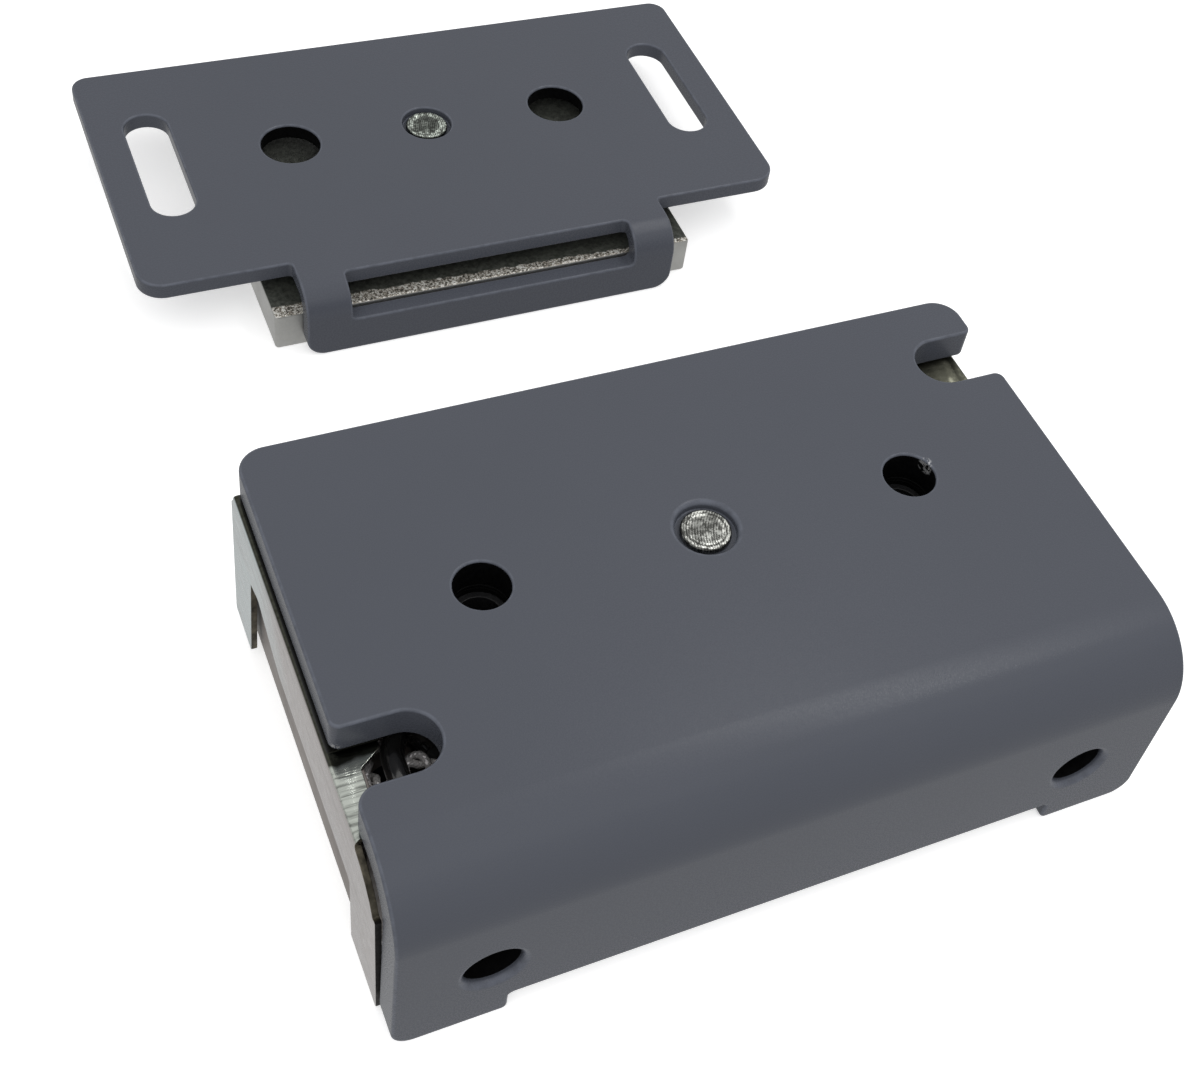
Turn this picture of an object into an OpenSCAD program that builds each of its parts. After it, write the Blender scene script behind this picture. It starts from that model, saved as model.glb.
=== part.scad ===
// Electromagnetic door lock: a magnet body under a bent cover plate, with its loose strike and armature.
// Frame: origin at the centre of the magnet's working face, X along the lock, Y toward the strike, Z up.

/* [Plates] */
// Thickness of the cover plate, coat included
cover_t = 5.8; // [5:0.1:6]
// Thickness of the strike plate, coat included
strike_t = 3.4; // [2.4:0.1:4.2]
// Thickness of the zinc-plated tray sheet
sheet_t = 1.0; // [0.8:0.1:1.4]

/* [Cover] */
// Length of the cover plate along X
cover_w = 126; // [124:1:140]
// Distance from the rivet to the cover's rear edge
cover_rear = 34.8; // [34:0.2:42]
// Distance from the rivet to the outer face of the front flange
cover_front = 45.6; // [45:0.2:52]
// Outer radius of the bend between top and flange
bend_r = 12.6; // [10:0.2:13]
// Gap between the cover's underside and the tray
cover_gap = 0.7; // [0.4:0.1:1]
// How far the feet reach past the working face
foot_drop = 2.1; // [1.5:0.1:3]
// Height of the relief between the feet
relief_h = 4.3; // [3:0.1:6]
// Width of the relief between the feet
relief_w = 92; // [88:1:100]
// Corner radius of the feet
foot_r = 3.5; // [1:0.5:6]
// Corner radius at the rear of the cover
rear_r = 4.6; // [2:0.2:6]

/* [Fixing holes] */
// Distance from the rivet to each access hole in the top
access_x = 36; // [35:0.5:38]
// Diameter of the access holes
access_d = 8.7; // [7:0.1:9]
// Distance from the core's end out to each hole in the flange
flange_in = 5.8; // [5.8:0.1:8]
// Height of the flange holes above the working face
flange_z = 11.8; // [10:0.2:13]
// Diameter of the flange holes
flange_d = 8.7; // [7:0.1:8.8]

/* [Cable notches] */
// Width of the left cable notch
left_notch_w = 9.7; // [8:0.1:10]
// Centre of the left cable notch along Y, toward the flange
left_notch_y = 21.5; // [21:0.1:22]
// Width of the right notch
right_notch_w = 9.8; // [8:0.1:10.4]
// Centre of the right notch along Y, toward the rear
right_notch_y = 21.2; // [20:0.1:22]
// Depth of both notches from the cover's ends
notch_depth = 13.5; // [11:0.1:14]

/* [Rivets] */
// Diameter of the cover rivet's head
rivet_head_d = 8.1; // [7.4:0.1:9]
// Diameter of both rivet shanks
rivet_shank_d = 6; // [5:0.1:6.4]
// Diameter of the seat sunk into each painted plate
rivet_seat_d = 9.8; // [9.4:0.1:11]
// Depth of the seats
rivet_seat_h = 1.6; // [1.2:0.1:1.8]

/* [Magnet core] */
// Depth of the core along Y
core_d = 59; // [56:1:61]
// Height of the poles
pole_h = 19; // [18:0.5:20]
// Thickness of the yoke
yoke_t = 10; // [9:0.5:12]
// Length of the centre pole
centre_l = 64; // [60:1:66]
// Room for the coil past each end of the centre pole
core_end = 11; // [10:0.25:11.5]
// Width of the centre pole
centre_w = 22; // [20:0.5:23]
// Width of each side pole
side_w = 9.5; // [8.5:0.5:10]

/* [Coil] */
// Wall thickness of the bobbin
bobbin_t = 1; // [0.8:0.1:1.4]
// How far the bobbin's flanges stand off the centre pole
bobbin_reach = 8.6; // [7:0.1:8.6]
// Depth of the resin over the coil at the working face
resin_h = 1.2; // [0.8:0.1:2]
// How far the resin lies below the working face
resin_sink = 0.2; // [0.1:0.05:0.5]

/* [Tray and end blocks] */
// Length of the end blocks along X, the mean of the two
block_l = 18.5; // [18.25:0.25:19]
// How far the tray sits toward the left end
tray_shift = 1; // [0:0.25:1.5]
// Distance from the rivet to the tray's rear edge
tray_rear = 33; // [32:0.5:34]
// Distance from the rivet to the front edge of the end plates
tray_front = 39.3; // [38.5:0.1:39.4]
// Depth of the end blocks along Y
block_d = 62; // [58:1:64]
// Depth of the cable pocket in each end block
pocket_h = 10; // [7:0.5:11]

/* [Strike] */
// Distance between the rivets as the strike stands behind the lock
strike_away = 130.8; // [120:0.2:160]
// Length of the strike plate
strike_w = 129; // [120:1:140]
// Distance from its rivet to the strike's rear edge
strike_rear = 29.4; // [29:0.2:34]
// Distance from its rivet to the strike's front edge
strike_front = 33.3; // [31:0.1:35]
// Distance from its rivet to the outer face of the tab
tab_front = 43.8; // [43:0.1:47]
// Width of the tab
tab_w = 74.2; // [70:0.2:80]
// Height of the strike over its tab
strike_h = 14.6; // [14:0.1:16]
// Outer radius of the tab's bend
tab_bend_r = 6; // [4.5:0.1:7]
// Width of the window in the tab
window_w = 57; // [40:1:60]
// Height of the window below the strike's top face
window_h = 7; // [6:0.1:8]
// Diameter of the two round holes
pin_hole_d = 11.5; // [8:0.1:13]
// Distance from the rivet to each round hole
pin_hole_x = 28; // [24:0.5:31]
// Distance from the rivet to each slot
slot_x = 53.5; // [50:0.5:56]
// Width of the slots
slot_w = 8.4; // [6:0.1:10]
// Length of the slots, end to end
slot_l = 30.4; // [20:0.1:36]

/* [Armature] */
// Thickness of the armature
arm_t = 8; // [7:0.1:8.4]
// Length of the armature
arm_l = 84.4; // [78:0.2:86]
// Distance from the rivet to the armature's rear face
arm_rear = 28.5; // [26:0.5:29]
// Gap between the armature and the tab's inner face
arm_gap = 0.3; // [0.2:0.05:0.6]
// Thickness of the steel washer on the armature
washer_t = 1; // [0.6:0.1:1.4]
// Outer diameter of the rubber washer
rubber_d = 16; // [14:0.5:20]

/* [Hidden] */
$fn = 96;
cut = 0.5;
web_z = pole_h + yoke_t;
tray_z = web_z + sheet_t;
under_z = tray_z + cover_gap;
top_z = under_z + cover_t;
foot_z = -foot_drop;
relief_z = foot_z + relief_h;
half_w = cover_w / 2;
core_l = centre_l + 2 * core_end;
half_l = core_l / 2;
tray_l = core_l + 2 * (block_l + sheet_t);
half_d = core_d / 2;
flange_x = half_l + flange_in;
slot_in = centre_w / 2;
slot_out = half_d - side_w;
left_lug_r = 3.2;
lug_r = 1.6;
right_lug_r = 1.5;
relief_corner_r = 1;
seat_z = top_z - rivet_seat_h;
head_h = 1.1;
head_side_h = 0.9;
head_ring_in = 0.9;
head_ring_out = 0.3;
head_dish_in = 1.1;
head_dish = 0.15;
head_crown = 0.05;
cover_shank_hole_d = rivet_shank_d + 0.4;
rivet_sunk = 8;
spacer_d = 14;
bush_d = 13;
tap_d = 6.8;
tap_h = 9;

fold_r = 1.6;
tray_left = -tray_l / 2 - tray_shift;
tray_right = tray_l / 2 - tray_shift;
plate_foot_z = 0.6;
leg_y0 = 23.8;
leg_z1 = 18;
leg_flare = 3;
leg_gap = 0.5;
leg_play = 0.02;
leg_root = 0.2;
slit_y = 19.2;
slit_rise = 1.6;
slant_y0 = 11.4;
slant_y1 = 8.4;
slant_rise = 1.2;
foot_clear = 0.2;
front_step_z = 25.2;
front_step_y = 1;
front_slope_z = 22.6;
front_slope_y = 1.9;
web_front_y = 29.4;
web_chamfer_y = 30.6;
web_chamfer_z = 1;
front_leg_y = 28.4;
window_top_z = 14.4;
web_open_x0 = -half_l - 15.6;
web_open_x1 = -half_l - 3;
web_open_y0 = -27.6;
web_open_y1 = -12;

block_out_l = -tray_left - sheet_t;
block_out_r = tray_right - sheet_t;
pocket_x0 = half_l + 2.5;
pocket_x1 = half_l + 16.4;
pocket_y0 = 8;
pocket_y1 = 29.4;
lead_way_w = 5;
lead_way_y = 11.5;
lead_way_x = half_l - 5;
block_screw_x = half_l + 10.2;
block_screw_y = [0, 22];
block_screw_d = 4;
block_screw_l = 11;
pole_screw_d = 5;
pole_screw_l = 20;
pole_screw_x = 24;
pole_screw_y = half_d - side_w / 2;
centre_screw_x = 18;
drive_w = 0.7;
drive_depth = 0.45;

coil_z0 = resin_sink + resin_h;
coil_z1 = pole_h;
bobbin_gap = 0.15;
paper_reach = 8;
paper_l = centre_l + 2 * paper_reach;
wire_clear = 0.3;

strike_top = foot_z + strike_h;
tab_in = tab_front - strike_t;
arm_front = tab_in - arm_gap;
arm_top = foot_z + arm_t;
strike_under = strike_top - strike_t;
strike_bend_y = -tab_front + tab_bend_r;
tab_corner_r = 3.6;
strike_rear_r = 3.4;
strike_front_r = 4.8;
strike_seat_z = strike_top - rivet_seat_h;
strike_head_d = rivet_head_d + 0.2;
strike_seat_d = rivet_seat_d + 0.1;
rivet_play = 0.1;
strike_shank_hole_d = rivet_shank_d + 1;
arm_bore_d = rivet_shank_d + 0.1;
sink_d = 11;
sink_h = 2.6;
sink_play = 0.3;
washer_d = 18;
rubber_bore_d = rivet_shank_d + 0.6;

varistor_d = 8.4;
varistor_t = 2.6;
varistor_x = -half_l - 11.8;
leads_x = 43;
varistor_y = -19.6;
sheath_d = 3.4;
strand_d = 1.2;
strand_r = 0.68;
strand_pitch = 6;
plug_d = 4;
plug_l = 1.5;
plug_play = 0.15;
plug_turn = [0, 120, -59];
frame_start = [0.2, 1, 0.1];
// Middle line of the sheathed lead, from its splice, over the notch and down to its plugged end, for a
// core that ends leads_x from the middle
sheath_path = [
    [-47.6, -25.2, 22.2], [-48, -26.8, 21.8], [-49.7, -27.4, 22], [-51.7, -27.4, 23.2], [-53.6, -27.2, 25.3],
    [-54.8, -26, 26.8], [-55, -23.5, 27.2], [-55, -20.5, 27.2], [-54.8, -17.5, 27.1], [-53.4, -14.6, 26.4],
    [-51.4, -13.1, 24.6], [-49.8, -13.6, 22.8], [-48.8, -15, 21.7]];
// Middle line of the twisted pair, from the coil round the pocket, under the sheathed lead to the splice
pair_path = [
    [-39.6, -11.5, 20.4], [-41.4, -11.5, 20.4], [-43.4, -11.1, 20.5], [-46, -10.6, 20.6], [-51, -10.3, 20.8],
    [-55.4, -11, 21.6], [-57.7, -13.8, 22.6], [-58, -17.2, 23.3], [-57.9, -20.2, 23.8], [-56.9, -22.4, 24],
    [-54.9, -22.6, 24], [-53.2, -21.4, 24], [-51.4, -20.9, 24], [-49.6, -21.6, 23.8], [-48.3, -23, 23.2],
    [-47.7, -24.5, 22.5]];

// Flat box between two corners
module span(a, b) {
    translate(a) cube(b - a);
}

// Disc standing on a plane at a height
module post(x, y, z0, z1, d) {
    translate([x, y, z0]) cylinder(d = d, h = z1 - z0);
}

// Rectangle with round corners, centred
module round_rect(w, d, r) {
    square([w - 2 * r, d], center = true);
    square([w, d - 2 * r], center = true);
    for (sx = [-1, 1], sy = [-1, 1])
        translate([sx * (w / 2 - r), sy * (d / 2 - r)]) circle(r = r);
}

// What a round corner takes off a square one, the corner pointing to +X +Y
module corner_waste(r) {
    difference() {
        square(r + cut);
        circle(r = r);
    }
}

module corner_at(x, y, sx, sy, r) {
    translate([x - sx * r, y - sy * r]) mirror([sx < 0 ? 1 : 0, 0]) mirror([0, sy < 0 ? 1 : 0]) corner_waste(r);
}

// Slot open at the outer end, its blind end round
module open_slot(x_in, x_out, y, w) {
    s = sign(x_out);
    translate([x_in + s * w / 2, y]) circle(d = w);
    translate([min(x_in + s * w / 2, x_out), y - w / 2]) square([abs(x_out - x_in) - w / 2, w]);
}

// Side view of a plate bent down at its front: top run, quarter ring and flange
module bent_profile(rear, front, top, low, r, t) {
    translate([-front + r, top - t]) square([rear + front - r, t]);
    translate([-front, low]) square([t, top - r - low]);
    translate([-front + r, top - r]) intersection() {
        difference() {
            circle(r = r);
            circle(r = r - t);
        }
        translate([-r, 0]) square(r);
    }
}

module bent_plate(w, rear, front, top, low, r, t) {
    translate([-w / 2, 0, 0]) rotate([90, 0, 90]) linear_extrude(w) bent_profile(rear, front, top, low, r, t);
}

// Countersunk screw with its head level with z, shank below
module sunk_screw(x, y, z, d, l) {
    translate([x, y, z]) difference() {
        rotate_extrude() polygon([[0, 0], [d, 0], [d / 2, -d / 2], [d / 2, -l], [0, -l]]);
        translate([0, 0, -d * drive_depth]) cylinder(d = d * drive_w, h = d * drive_depth + cut, $fn = 6);
    }
}

module sunk_hole(x, y, z, d, l) {
    translate([x, y, z]) rotate_extrude()
        polygon([[0, cut], [d, cut], [d, 0], [d / 2, -d / 2], [d / 2, -l], [0, -l]]);
}

// Smooth curve through points, then a tube along it with frames carried without twist
function spline_at(p, i, t) = let (
        a = p[max(i - 1, 0)], b = p[i], c = p[i + 1], d = p[min(i + 2, len(p) - 1)])
    0.5 * ((2 * b) + (c - a) * t + (2 * a - 5 * b + 4 * c - d) * t * t + (3 * b - a - 3 * c + d) * t * t * t);
function curve(p, n) = [for (i = [0:len(p) - 2], k = [0:n - 1]) spline_at(p, i, k / n), p[len(p) - 1]];
function unit(v) = v / norm(v);
function tangents(c) = [for (i = [0:len(c) - 1]) unit(c[min(i + 1, len(c) - 1)] - c[max(i - 1, 0)])];
function carried(t, i, last) = i == len(t) ? [] : let (n = unit(last - (last * t[i]) * t[i]))
    concat([n], carried(t, i + 1, n));
function lengths(c, i, s) = i == len(c) ? [] : let (l = i == 0 ? 0 : s + norm(c[i] - c[i - 1]))
    concat([l], lengths(c, i + 1, l));

module tube(c, d, sides, off, pitch, phase) {
    t = tangents(c);
    n = carried(t, 0, frame_start);
    s = lengths(c, 0, 0);
    mid = [for (i = [0:len(c) - 1]) let (a = 360 * s[i] / pitch + phase)
        c[i] + off * (cos(a) * n[i] + sin(a) * cross(t[i], n[i]))];
    t2 = tangents(mid);
    n2 = carried(t2, 0, frame_start);
    rings = [for (i = [0:len(c) - 1], k = [0:sides - 1]) let (a = 360 * k / sides)
        mid[i] + d / 2 * (cos(a) * n2[i] + sin(a) * cross(t2[i], n2[i]))];
    last = (len(c) - 1) * sides;
    walls = [for (i = [0:len(c) - 2], k = [0:sides - 1]) let (k2 = (k + 1) % sides)
        [i * sides + k, (i + 1) * sides + k, (i + 1) * sides + k2, i * sides + k2]];
    polyhedron(rings, concat([[for (k = [0:sides - 1]) k]], walls,
        [[for (k = [sides - 1:-1:0]) last + k]]));
}

// Painted top and front flange
module cover_plate() color("#5a5d65") difference() {
    bent_plate(cover_w, cover_rear, cover_front, top_z, foot_z, bend_r, cover_t);
    translate([0, 0, under_z - cut]) linear_extrude(cover_t + 2 * cut) {
        for (s = [-1, 1]) {
            translate([s * access_x, 0]) circle(d = access_d);
            corner_at(s * half_w, cover_rear, s, 1, rear_r);
        }
        open_slot(-half_w + notch_depth, -half_w - cut, -left_notch_y, left_notch_w);
        open_slot(half_w - notch_depth, half_w + cut, right_notch_y, right_notch_w);
        corner_at(-half_w, -left_notch_y - left_notch_w / 2, -1, 1, left_lug_r);
        corner_at(-half_w, -left_notch_y + left_notch_w / 2, -1, -1, lug_r);
        corner_at(half_w, right_notch_y - right_notch_w / 2, 1, 1, lug_r);
        corner_at(half_w, right_notch_y + right_notch_w / 2, 1, -1, right_lug_r);
        circle(d = cover_shank_hole_d);
    }
    post(0, 0, seat_z, top_z + cut, rivet_seat_d);
    translate([0, -cover_front - cut, 0]) rotate([-90, 0, 0]) linear_extrude(cover_t + 2 * cut) {
        for (s = [-1, 1]) {
            translate([s * flange_x, -flange_z]) circle(d = flange_d);
            corner_at(s * half_w, foot_drop, s, 1, foot_r);
            corner_at(s * relief_w / 2, foot_drop, -s, 1, relief_corner_r);
        }
        translate([-relief_w / 2, -relief_z]) square([relief_w, relief_h + cut]);
    }
}

// One end plate of the tray, drawn in Y and Z
module end_plate_shape() {
    polygon([
        [tray_rear, tray_z], [tray_rear, leg_z1], [leg_y0, leg_z1], [leg_y0 - leg_gap, leg_z1],
        [slit_y, leg_z1 + slit_rise], [slant_y0, window_top_z + slant_rise], [slant_y1, window_top_z],
        [-front_leg_y, window_top_z], [-front_leg_y, foot_z + foot_clear],
        [-tray_front, foot_z + foot_clear], [-tray_front, front_step_z],
        [-tray_front + front_step_y, front_step_z], [-tray_front + front_slope_y, front_slope_z],
        [-web_chamfer_y, tray_z - web_chamfer_z], [-web_front_y, tray_z]]);
}

module end_leg(s) {
    translate([s * (leg_play - sheet_t), 0, leg_z1]) rotate([0, -s * leg_flare, 0])
        translate([s > 0 ? 0 : -sheet_t, leg_y0, plate_foot_z - leg_z1])
            cube([sheet_t, tray_rear - leg_y0, leg_z1 - plate_foot_z + leg_root]);
}

// Zinc-plated tray: web over the core, an end plate at each end
module magnet_tray() color("#a9a8a2") difference() {
    union() {
        difference() {
            span([tray_left, -web_front_y, web_z], [tray_right, tray_rear, tray_z]);
            post(0, 0, web_z - cut, tray_z + cut, rivet_shank_d);
            for (s = [-1, 1]) {
                post(s * access_x, 0, web_z - cut, tray_z + cut, access_d);
                for (y = block_screw_y)
                    sunk_hole(s * block_screw_x, -s * y, tray_z, block_screw_d, 2 * sheet_t);
            }
            span([web_open_x0, web_open_y0, web_z - cut], [web_open_x1, web_open_y1, tray_z + cut]);
        }
        for (x = [tray_left, tray_right - sheet_t])
            translate([x, 0, 0]) rotate([90, 0, 90]) linear_extrude(sheet_t) end_plate_shape();
        translate([tray_left, 0, 0]) end_leg(-1);
        translate([tray_right, 0, 0]) end_leg(1);
    }
    translate([0, tray_rear + cut, 0]) rotate([90, 0, 0]) linear_extrude(tray_rear + tray_front + 2 * cut) {
        corner_at(tray_left, tray_z, -1, 1, fold_r);
        corner_at(tray_right, tray_z, 1, 1, fold_r);
    }
}

module yoke_plate() color("#6e6e70") difference() {
    span([-half_l, -half_d, pole_h], [half_l, half_d, web_z]);
    post(0, 0, web_z - rivet_sunk, web_z + cut, rivet_shank_d);
    for (s = [-1, 1]) {
        post(s * access_x, 0, web_z - tap_h, web_z + cut, tap_d);
        for (t = [-1, 1]) sunk_hole(s * pole_screw_x, t * pole_screw_y, web_z, pole_screw_d, yoke_t + cut);
        sunk_hole(s * centre_screw_x, 0, web_z, pole_screw_d, yoke_t + cut);
    }
    span([-half_l - cut, -lead_way_y - lead_way_w / 2, pole_h - cut],
        [-lead_way_x, -lead_way_y + lead_way_w / 2, web_z + cut]);
}

module centre_pole() color("#88888a") difference() {
    span([-centre_l / 2, -slot_in, 0], [centre_l / 2, slot_in, pole_h]);
    for (s = [-1, 1]) post(s * centre_screw_x, 0, web_z - pole_screw_l, pole_h + cut, pole_screw_d);
}

module side_pole(s) {
    difference() {
        span([-half_l, s > 0 ? slot_out : -half_d, 0], [half_l, s > 0 ? half_d : -slot_out, pole_h]);
        for (t = [-1, 1])
            post(t * pole_screw_x, s * pole_screw_y, web_z - pole_screw_l, pole_h + cut, pole_screw_d);
    }
}

module front_pole() color("#88888a") side_pole(-1);

module rear_pole() color("#88888a") side_pole(1);

module pole_screws() color("#9a9a9c") {
    for (s = [-1, 1]) {
        for (t = [-1, 1]) sunk_screw(s * pole_screw_x, t * pole_screw_y, web_z, pole_screw_d, pole_screw_l);
        sunk_screw(s * centre_screw_x, 0, web_z, pole_screw_d, pole_screw_l);
    }
}

module bobbin_area(reach) {
    difference() {
        round_rect(centre_l + 2 * reach, centre_w + 2 * reach, reach);
        square([centre_l + 2 * bobbin_gap, centre_w + 2 * bobbin_gap], center = true);
    }
}

module coil_bobbin() color("#c8c4b4") {
    translate([0, 0, coil_z0]) linear_extrude(coil_z1 - coil_z0) bobbin_area(bobbin_t + bobbin_gap);
    for (z = [coil_z0, coil_z1 - bobbin_t])
        translate([0, 0, z]) linear_extrude(bobbin_t) bobbin_area(bobbin_reach);
}

module coil_winding() color("#a86a32")
    translate([0, 0, coil_z0 + bobbin_t]) linear_extrude(coil_z1 - coil_z0 - 2 * bobbin_t) difference() {
        bobbin_area(bobbin_reach - wire_clear);
        round_rect(centre_l + 2 * (bobbin_t + bobbin_gap), centre_w + 2 * (bobbin_t + bobbin_gap),
            bobbin_t + bobbin_gap);
    }

module slot_insulation() color("#c9b48a")
    for (s = [-1, 1])
        span([-paper_l / 2, s > 0 ? slot_in + bobbin_reach : -slot_out, coil_z0],
            [paper_l / 2, s > 0 ? slot_out : -slot_in - bobbin_reach, coil_z1]);

module potting() color("#1b1b1c") difference() {
    span([-half_l, -slot_out, resin_sink], [half_l, slot_out, coil_z1]);
    span([-centre_l / 2, -slot_in, -cut], [centre_l / 2, slot_in, coil_z1 + cut]);
    translate([0, 0, coil_z0]) linear_extrude(coil_z1) {
        round_rect(centre_l + 2 * bobbin_reach, centre_w + 2 * bobbin_reach, bobbin_reach);
        square([paper_l, 2 * slot_out], center = true);
    }
}

// End block drawn for the left end: flange-bolt bore, cable pocket and screw holes
module end_block(out) {
    difference() {
        span([-out, -block_d / 2, 0], [-half_l, block_d / 2, web_z]);
        translate([-flange_x, -block_d / 2 - cut, flange_z]) rotate([-90, 0, 0])
            cylinder(d = flange_d, h = block_d + 2 * cut);
        span([-pocket_x1, -pocket_y1, web_z - pocket_h], [-pocket_x0, -pocket_y0, web_z + cut]);
        span([-pocket_x0 - cut, -lead_way_y - lead_way_w / 2, web_z - pocket_h],
            [-half_l + cut, -lead_way_y + lead_way_w / 2, web_z + cut]);
        for (y = block_screw_y) sunk_hole(-block_screw_x, y, tray_z, block_screw_d, block_screw_l);
    }
}

module left_end_block() color("#8f887f") end_block(block_out_l);

module right_end_block() color("#8f887f") rotate([0, 0, 180]) end_block(block_out_r);

module block_screws() color("#9a9a9c")
    for (s = [-1, 1], y = block_screw_y)
        sunk_screw(s * block_screw_x, -s * y, tray_z, block_screw_d, block_screw_l);

// Rivet head with a low ring round a flat crown
module rivet_head(d) {
    rotate_extrude() polygon([
        [0, 0], [d / 2, 0], [d / 2, head_side_h], [d / 2 - head_ring_out, head_h], [d / 2 - head_ring_in, head_h],
        [d / 2 - head_dish_in, head_h - head_dish], [0, head_h + head_crown]]);
}

module centre_rivet() color("#b9b9b4") {
    translate([0, 0, seat_z]) rivet_head(rivet_head_d);
    post(0, 0, web_z - rivet_sunk, seat_z + rivet_play, rivet_shank_d);
}

module ring(x, y, z0, z1, d_out, d_in) {
    difference() {
        post(x, y, z0, z1, d_out);
        post(x, y, z0 - cut, z1 + cut, d_in);
    }
}

module rivet_spacer() color("#9a9a9c") ring(0, 0, tray_z, under_z, spacer_d, rivet_shank_d);

module access_bushes() color("#161617")
    for (s = [-1, 1]) ring(s * access_x, 0, tray_z, under_z, bush_d, access_d);

module surge_varistor() color("#161a22")
    post(varistor_x, varistor_y, web_z - pocket_h, web_z - pocket_h + varistor_t, varistor_d);

module supply_lead() color("#131314") translate([leads_x - half_l, 0, 0])
    tube(curve(sheath_path, 4), sheath_d, 12, 0, 1, 0);

module lead_plug() color("#202022") translate([leads_x - half_l, 0, 0])
    translate(sheath_path[len(sheath_path) - 1]) rotate(plug_turn) translate([0, 0, plug_play])
        cylinder(d = plug_d, h = plug_l);

module coil_lead_a() color("#1a1a1c") translate([leads_x - half_l, 0, 0])
    tube(curve(pair_path, 6), strand_d, 8, strand_r, strand_pitch, 0);

module coil_lead_b() color("#262022") translate([leads_x - half_l, 0, 0])
    tube(curve(pair_path, 6), strand_d, 8, strand_r, strand_pitch, 180);

// Painted strike plate with its down-turned tab
module strike_plate() color("#5a5d65") translate([0, strike_away, 0]) difference() {
    bent_plate(strike_w, strike_rear, tab_front, strike_top, foot_z, tab_bend_r, strike_t);
    for (s = [-1, 1]) {
        x0 = s > 0 ? tab_w / 2 : -strike_w / 2 - cut;
        span([x0, -tab_front - cut, foot_z - cut],
            [x0 + (strike_w - tab_w) / 2 + cut, -strike_front, strike_top + cut]);
        post(s * pin_hole_x, 0, strike_under - cut, strike_top + cut, pin_hole_d);
    }
    translate([0, 0, strike_under - cut]) linear_extrude(strike_t + 2 * cut) {
        for (s = [-1, 1]) {
            corner_at(s * strike_w / 2, strike_rear, s, 1, strike_rear_r);
            corner_at(s * strike_w / 2, -strike_front, s, -1, strike_front_r);
            translate([s * slot_x - slot_w / 2, (slot_w - slot_l) / 2]) square([slot_w, slot_l - slot_w]);
            for (t = [-1, 1]) translate([s * slot_x, t * (slot_l - slot_w) / 2]) circle(d = slot_w);
        }
        circle(d = strike_shank_hole_d);
    }
    post(0, 0, strike_seat_z, strike_top + cut, strike_seat_d);
    span([-window_w / 2, -tab_front - cut, strike_top - window_h], [window_w / 2, strike_bend_y, strike_top + cut]);
    translate([0, -tab_front - cut, 0]) rotate([-90, 0, 0]) linear_extrude(strike_t + 2 * cut)
        for (s = [-1, 1]) corner_at(s * tab_w / 2, foot_drop, s, 1, tab_corner_r);
}

module armature() color("#a3a3a0") translate([0, strike_away, 0]) difference() {
    span([-arm_l / 2, -arm_front, foot_z], [arm_l / 2, arm_rear, arm_top]);
    post(0, 0, foot_z - cut, arm_top + cut, arm_bore_d);
    translate([0, 0, foot_z]) rotate_extrude()
        polygon([[0, -cut], [sink_d / 2, -cut], [sink_d / 2, 0], [arm_bore_d / 2, sink_h], [0, sink_h]]);
}

module armature_rivet() color("#8d9088") translate([0, strike_away, 0]) {
    translate([0, 0, strike_seat_z + rivet_play]) rivet_head(strike_head_d);
    post(0, 0, foot_z + rivet_play, strike_seat_z + 2 * rivet_play, rivet_shank_d);
    translate([0, 0, foot_z + rivet_play])
        cylinder(d1 = sink_d - sink_play, d2 = rivet_shank_d, h = sink_h - rivet_play);
}

module rubber_washer() color("#232324") translate([0, strike_away, 0])
    ring(0, 0, arm_top + washer_t, strike_under, rubber_d, rubber_bore_d);

module backing_washer() color("#9a9a9c") translate([0, strike_away, 0])
    ring(0, 0, arm_top, arm_top + washer_t, washer_d, rubber_bore_d);

cover_plate();
magnet_tray();
yoke_plate();
centre_pole();
front_pole();
rear_pole();
pole_screws();
coil_bobbin();
coil_winding();
slot_insulation();
potting();
left_end_block();
right_end_block();
block_screws();
centre_rivet();
rivet_spacer();
access_bushes();
surge_varistor();
supply_lead();
lead_plug();
coil_lead_a();
coil_lead_b();
strike_plate();
armature();
armature_rivet();
rubber_washer();
backing_washer();
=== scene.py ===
"""Electromagnetic door lock and its strike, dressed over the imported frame.

Lengths in the dataclasses are millimetres in the part's own frame; meshes are written in metres.
"""

import logging
import math
from dataclasses import dataclass, field
from enum import Enum
from typing import Callable, Iterable, Sequence

import bmesh
import bpy
import numpy as np
from mathutils import Euler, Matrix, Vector
from mathutils.geometry import delaunay_2d_cdt


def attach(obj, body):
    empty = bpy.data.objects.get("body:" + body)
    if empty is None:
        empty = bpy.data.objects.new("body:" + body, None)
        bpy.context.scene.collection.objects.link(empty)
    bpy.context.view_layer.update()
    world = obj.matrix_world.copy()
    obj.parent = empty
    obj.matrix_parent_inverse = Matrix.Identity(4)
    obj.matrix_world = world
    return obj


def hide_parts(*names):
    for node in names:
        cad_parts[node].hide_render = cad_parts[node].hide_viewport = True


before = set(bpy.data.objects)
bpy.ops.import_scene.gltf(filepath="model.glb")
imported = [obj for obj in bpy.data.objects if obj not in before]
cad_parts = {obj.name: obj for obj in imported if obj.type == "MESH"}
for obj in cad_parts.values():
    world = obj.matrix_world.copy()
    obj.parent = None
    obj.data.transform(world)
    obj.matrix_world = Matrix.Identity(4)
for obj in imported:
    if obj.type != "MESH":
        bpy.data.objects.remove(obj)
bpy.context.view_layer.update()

log = logging.getLogger("door_lock")
MM = 0.001
Socket = bpy.types.NodeSocket
Material = bpy.types.Material
Colour = Sequence[float]
Point = tuple[float, float, float]
Corner = tuple[float, float, float]
Edge = tuple[np.ndarray, np.ndarray, np.ndarray]

# Places that several pieces share, in millimetres
ACCESS_X = 36.0
BOLT_RADIUS = 4.35
STRIKE_Y = 130.8
FEET = -2.1


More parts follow.
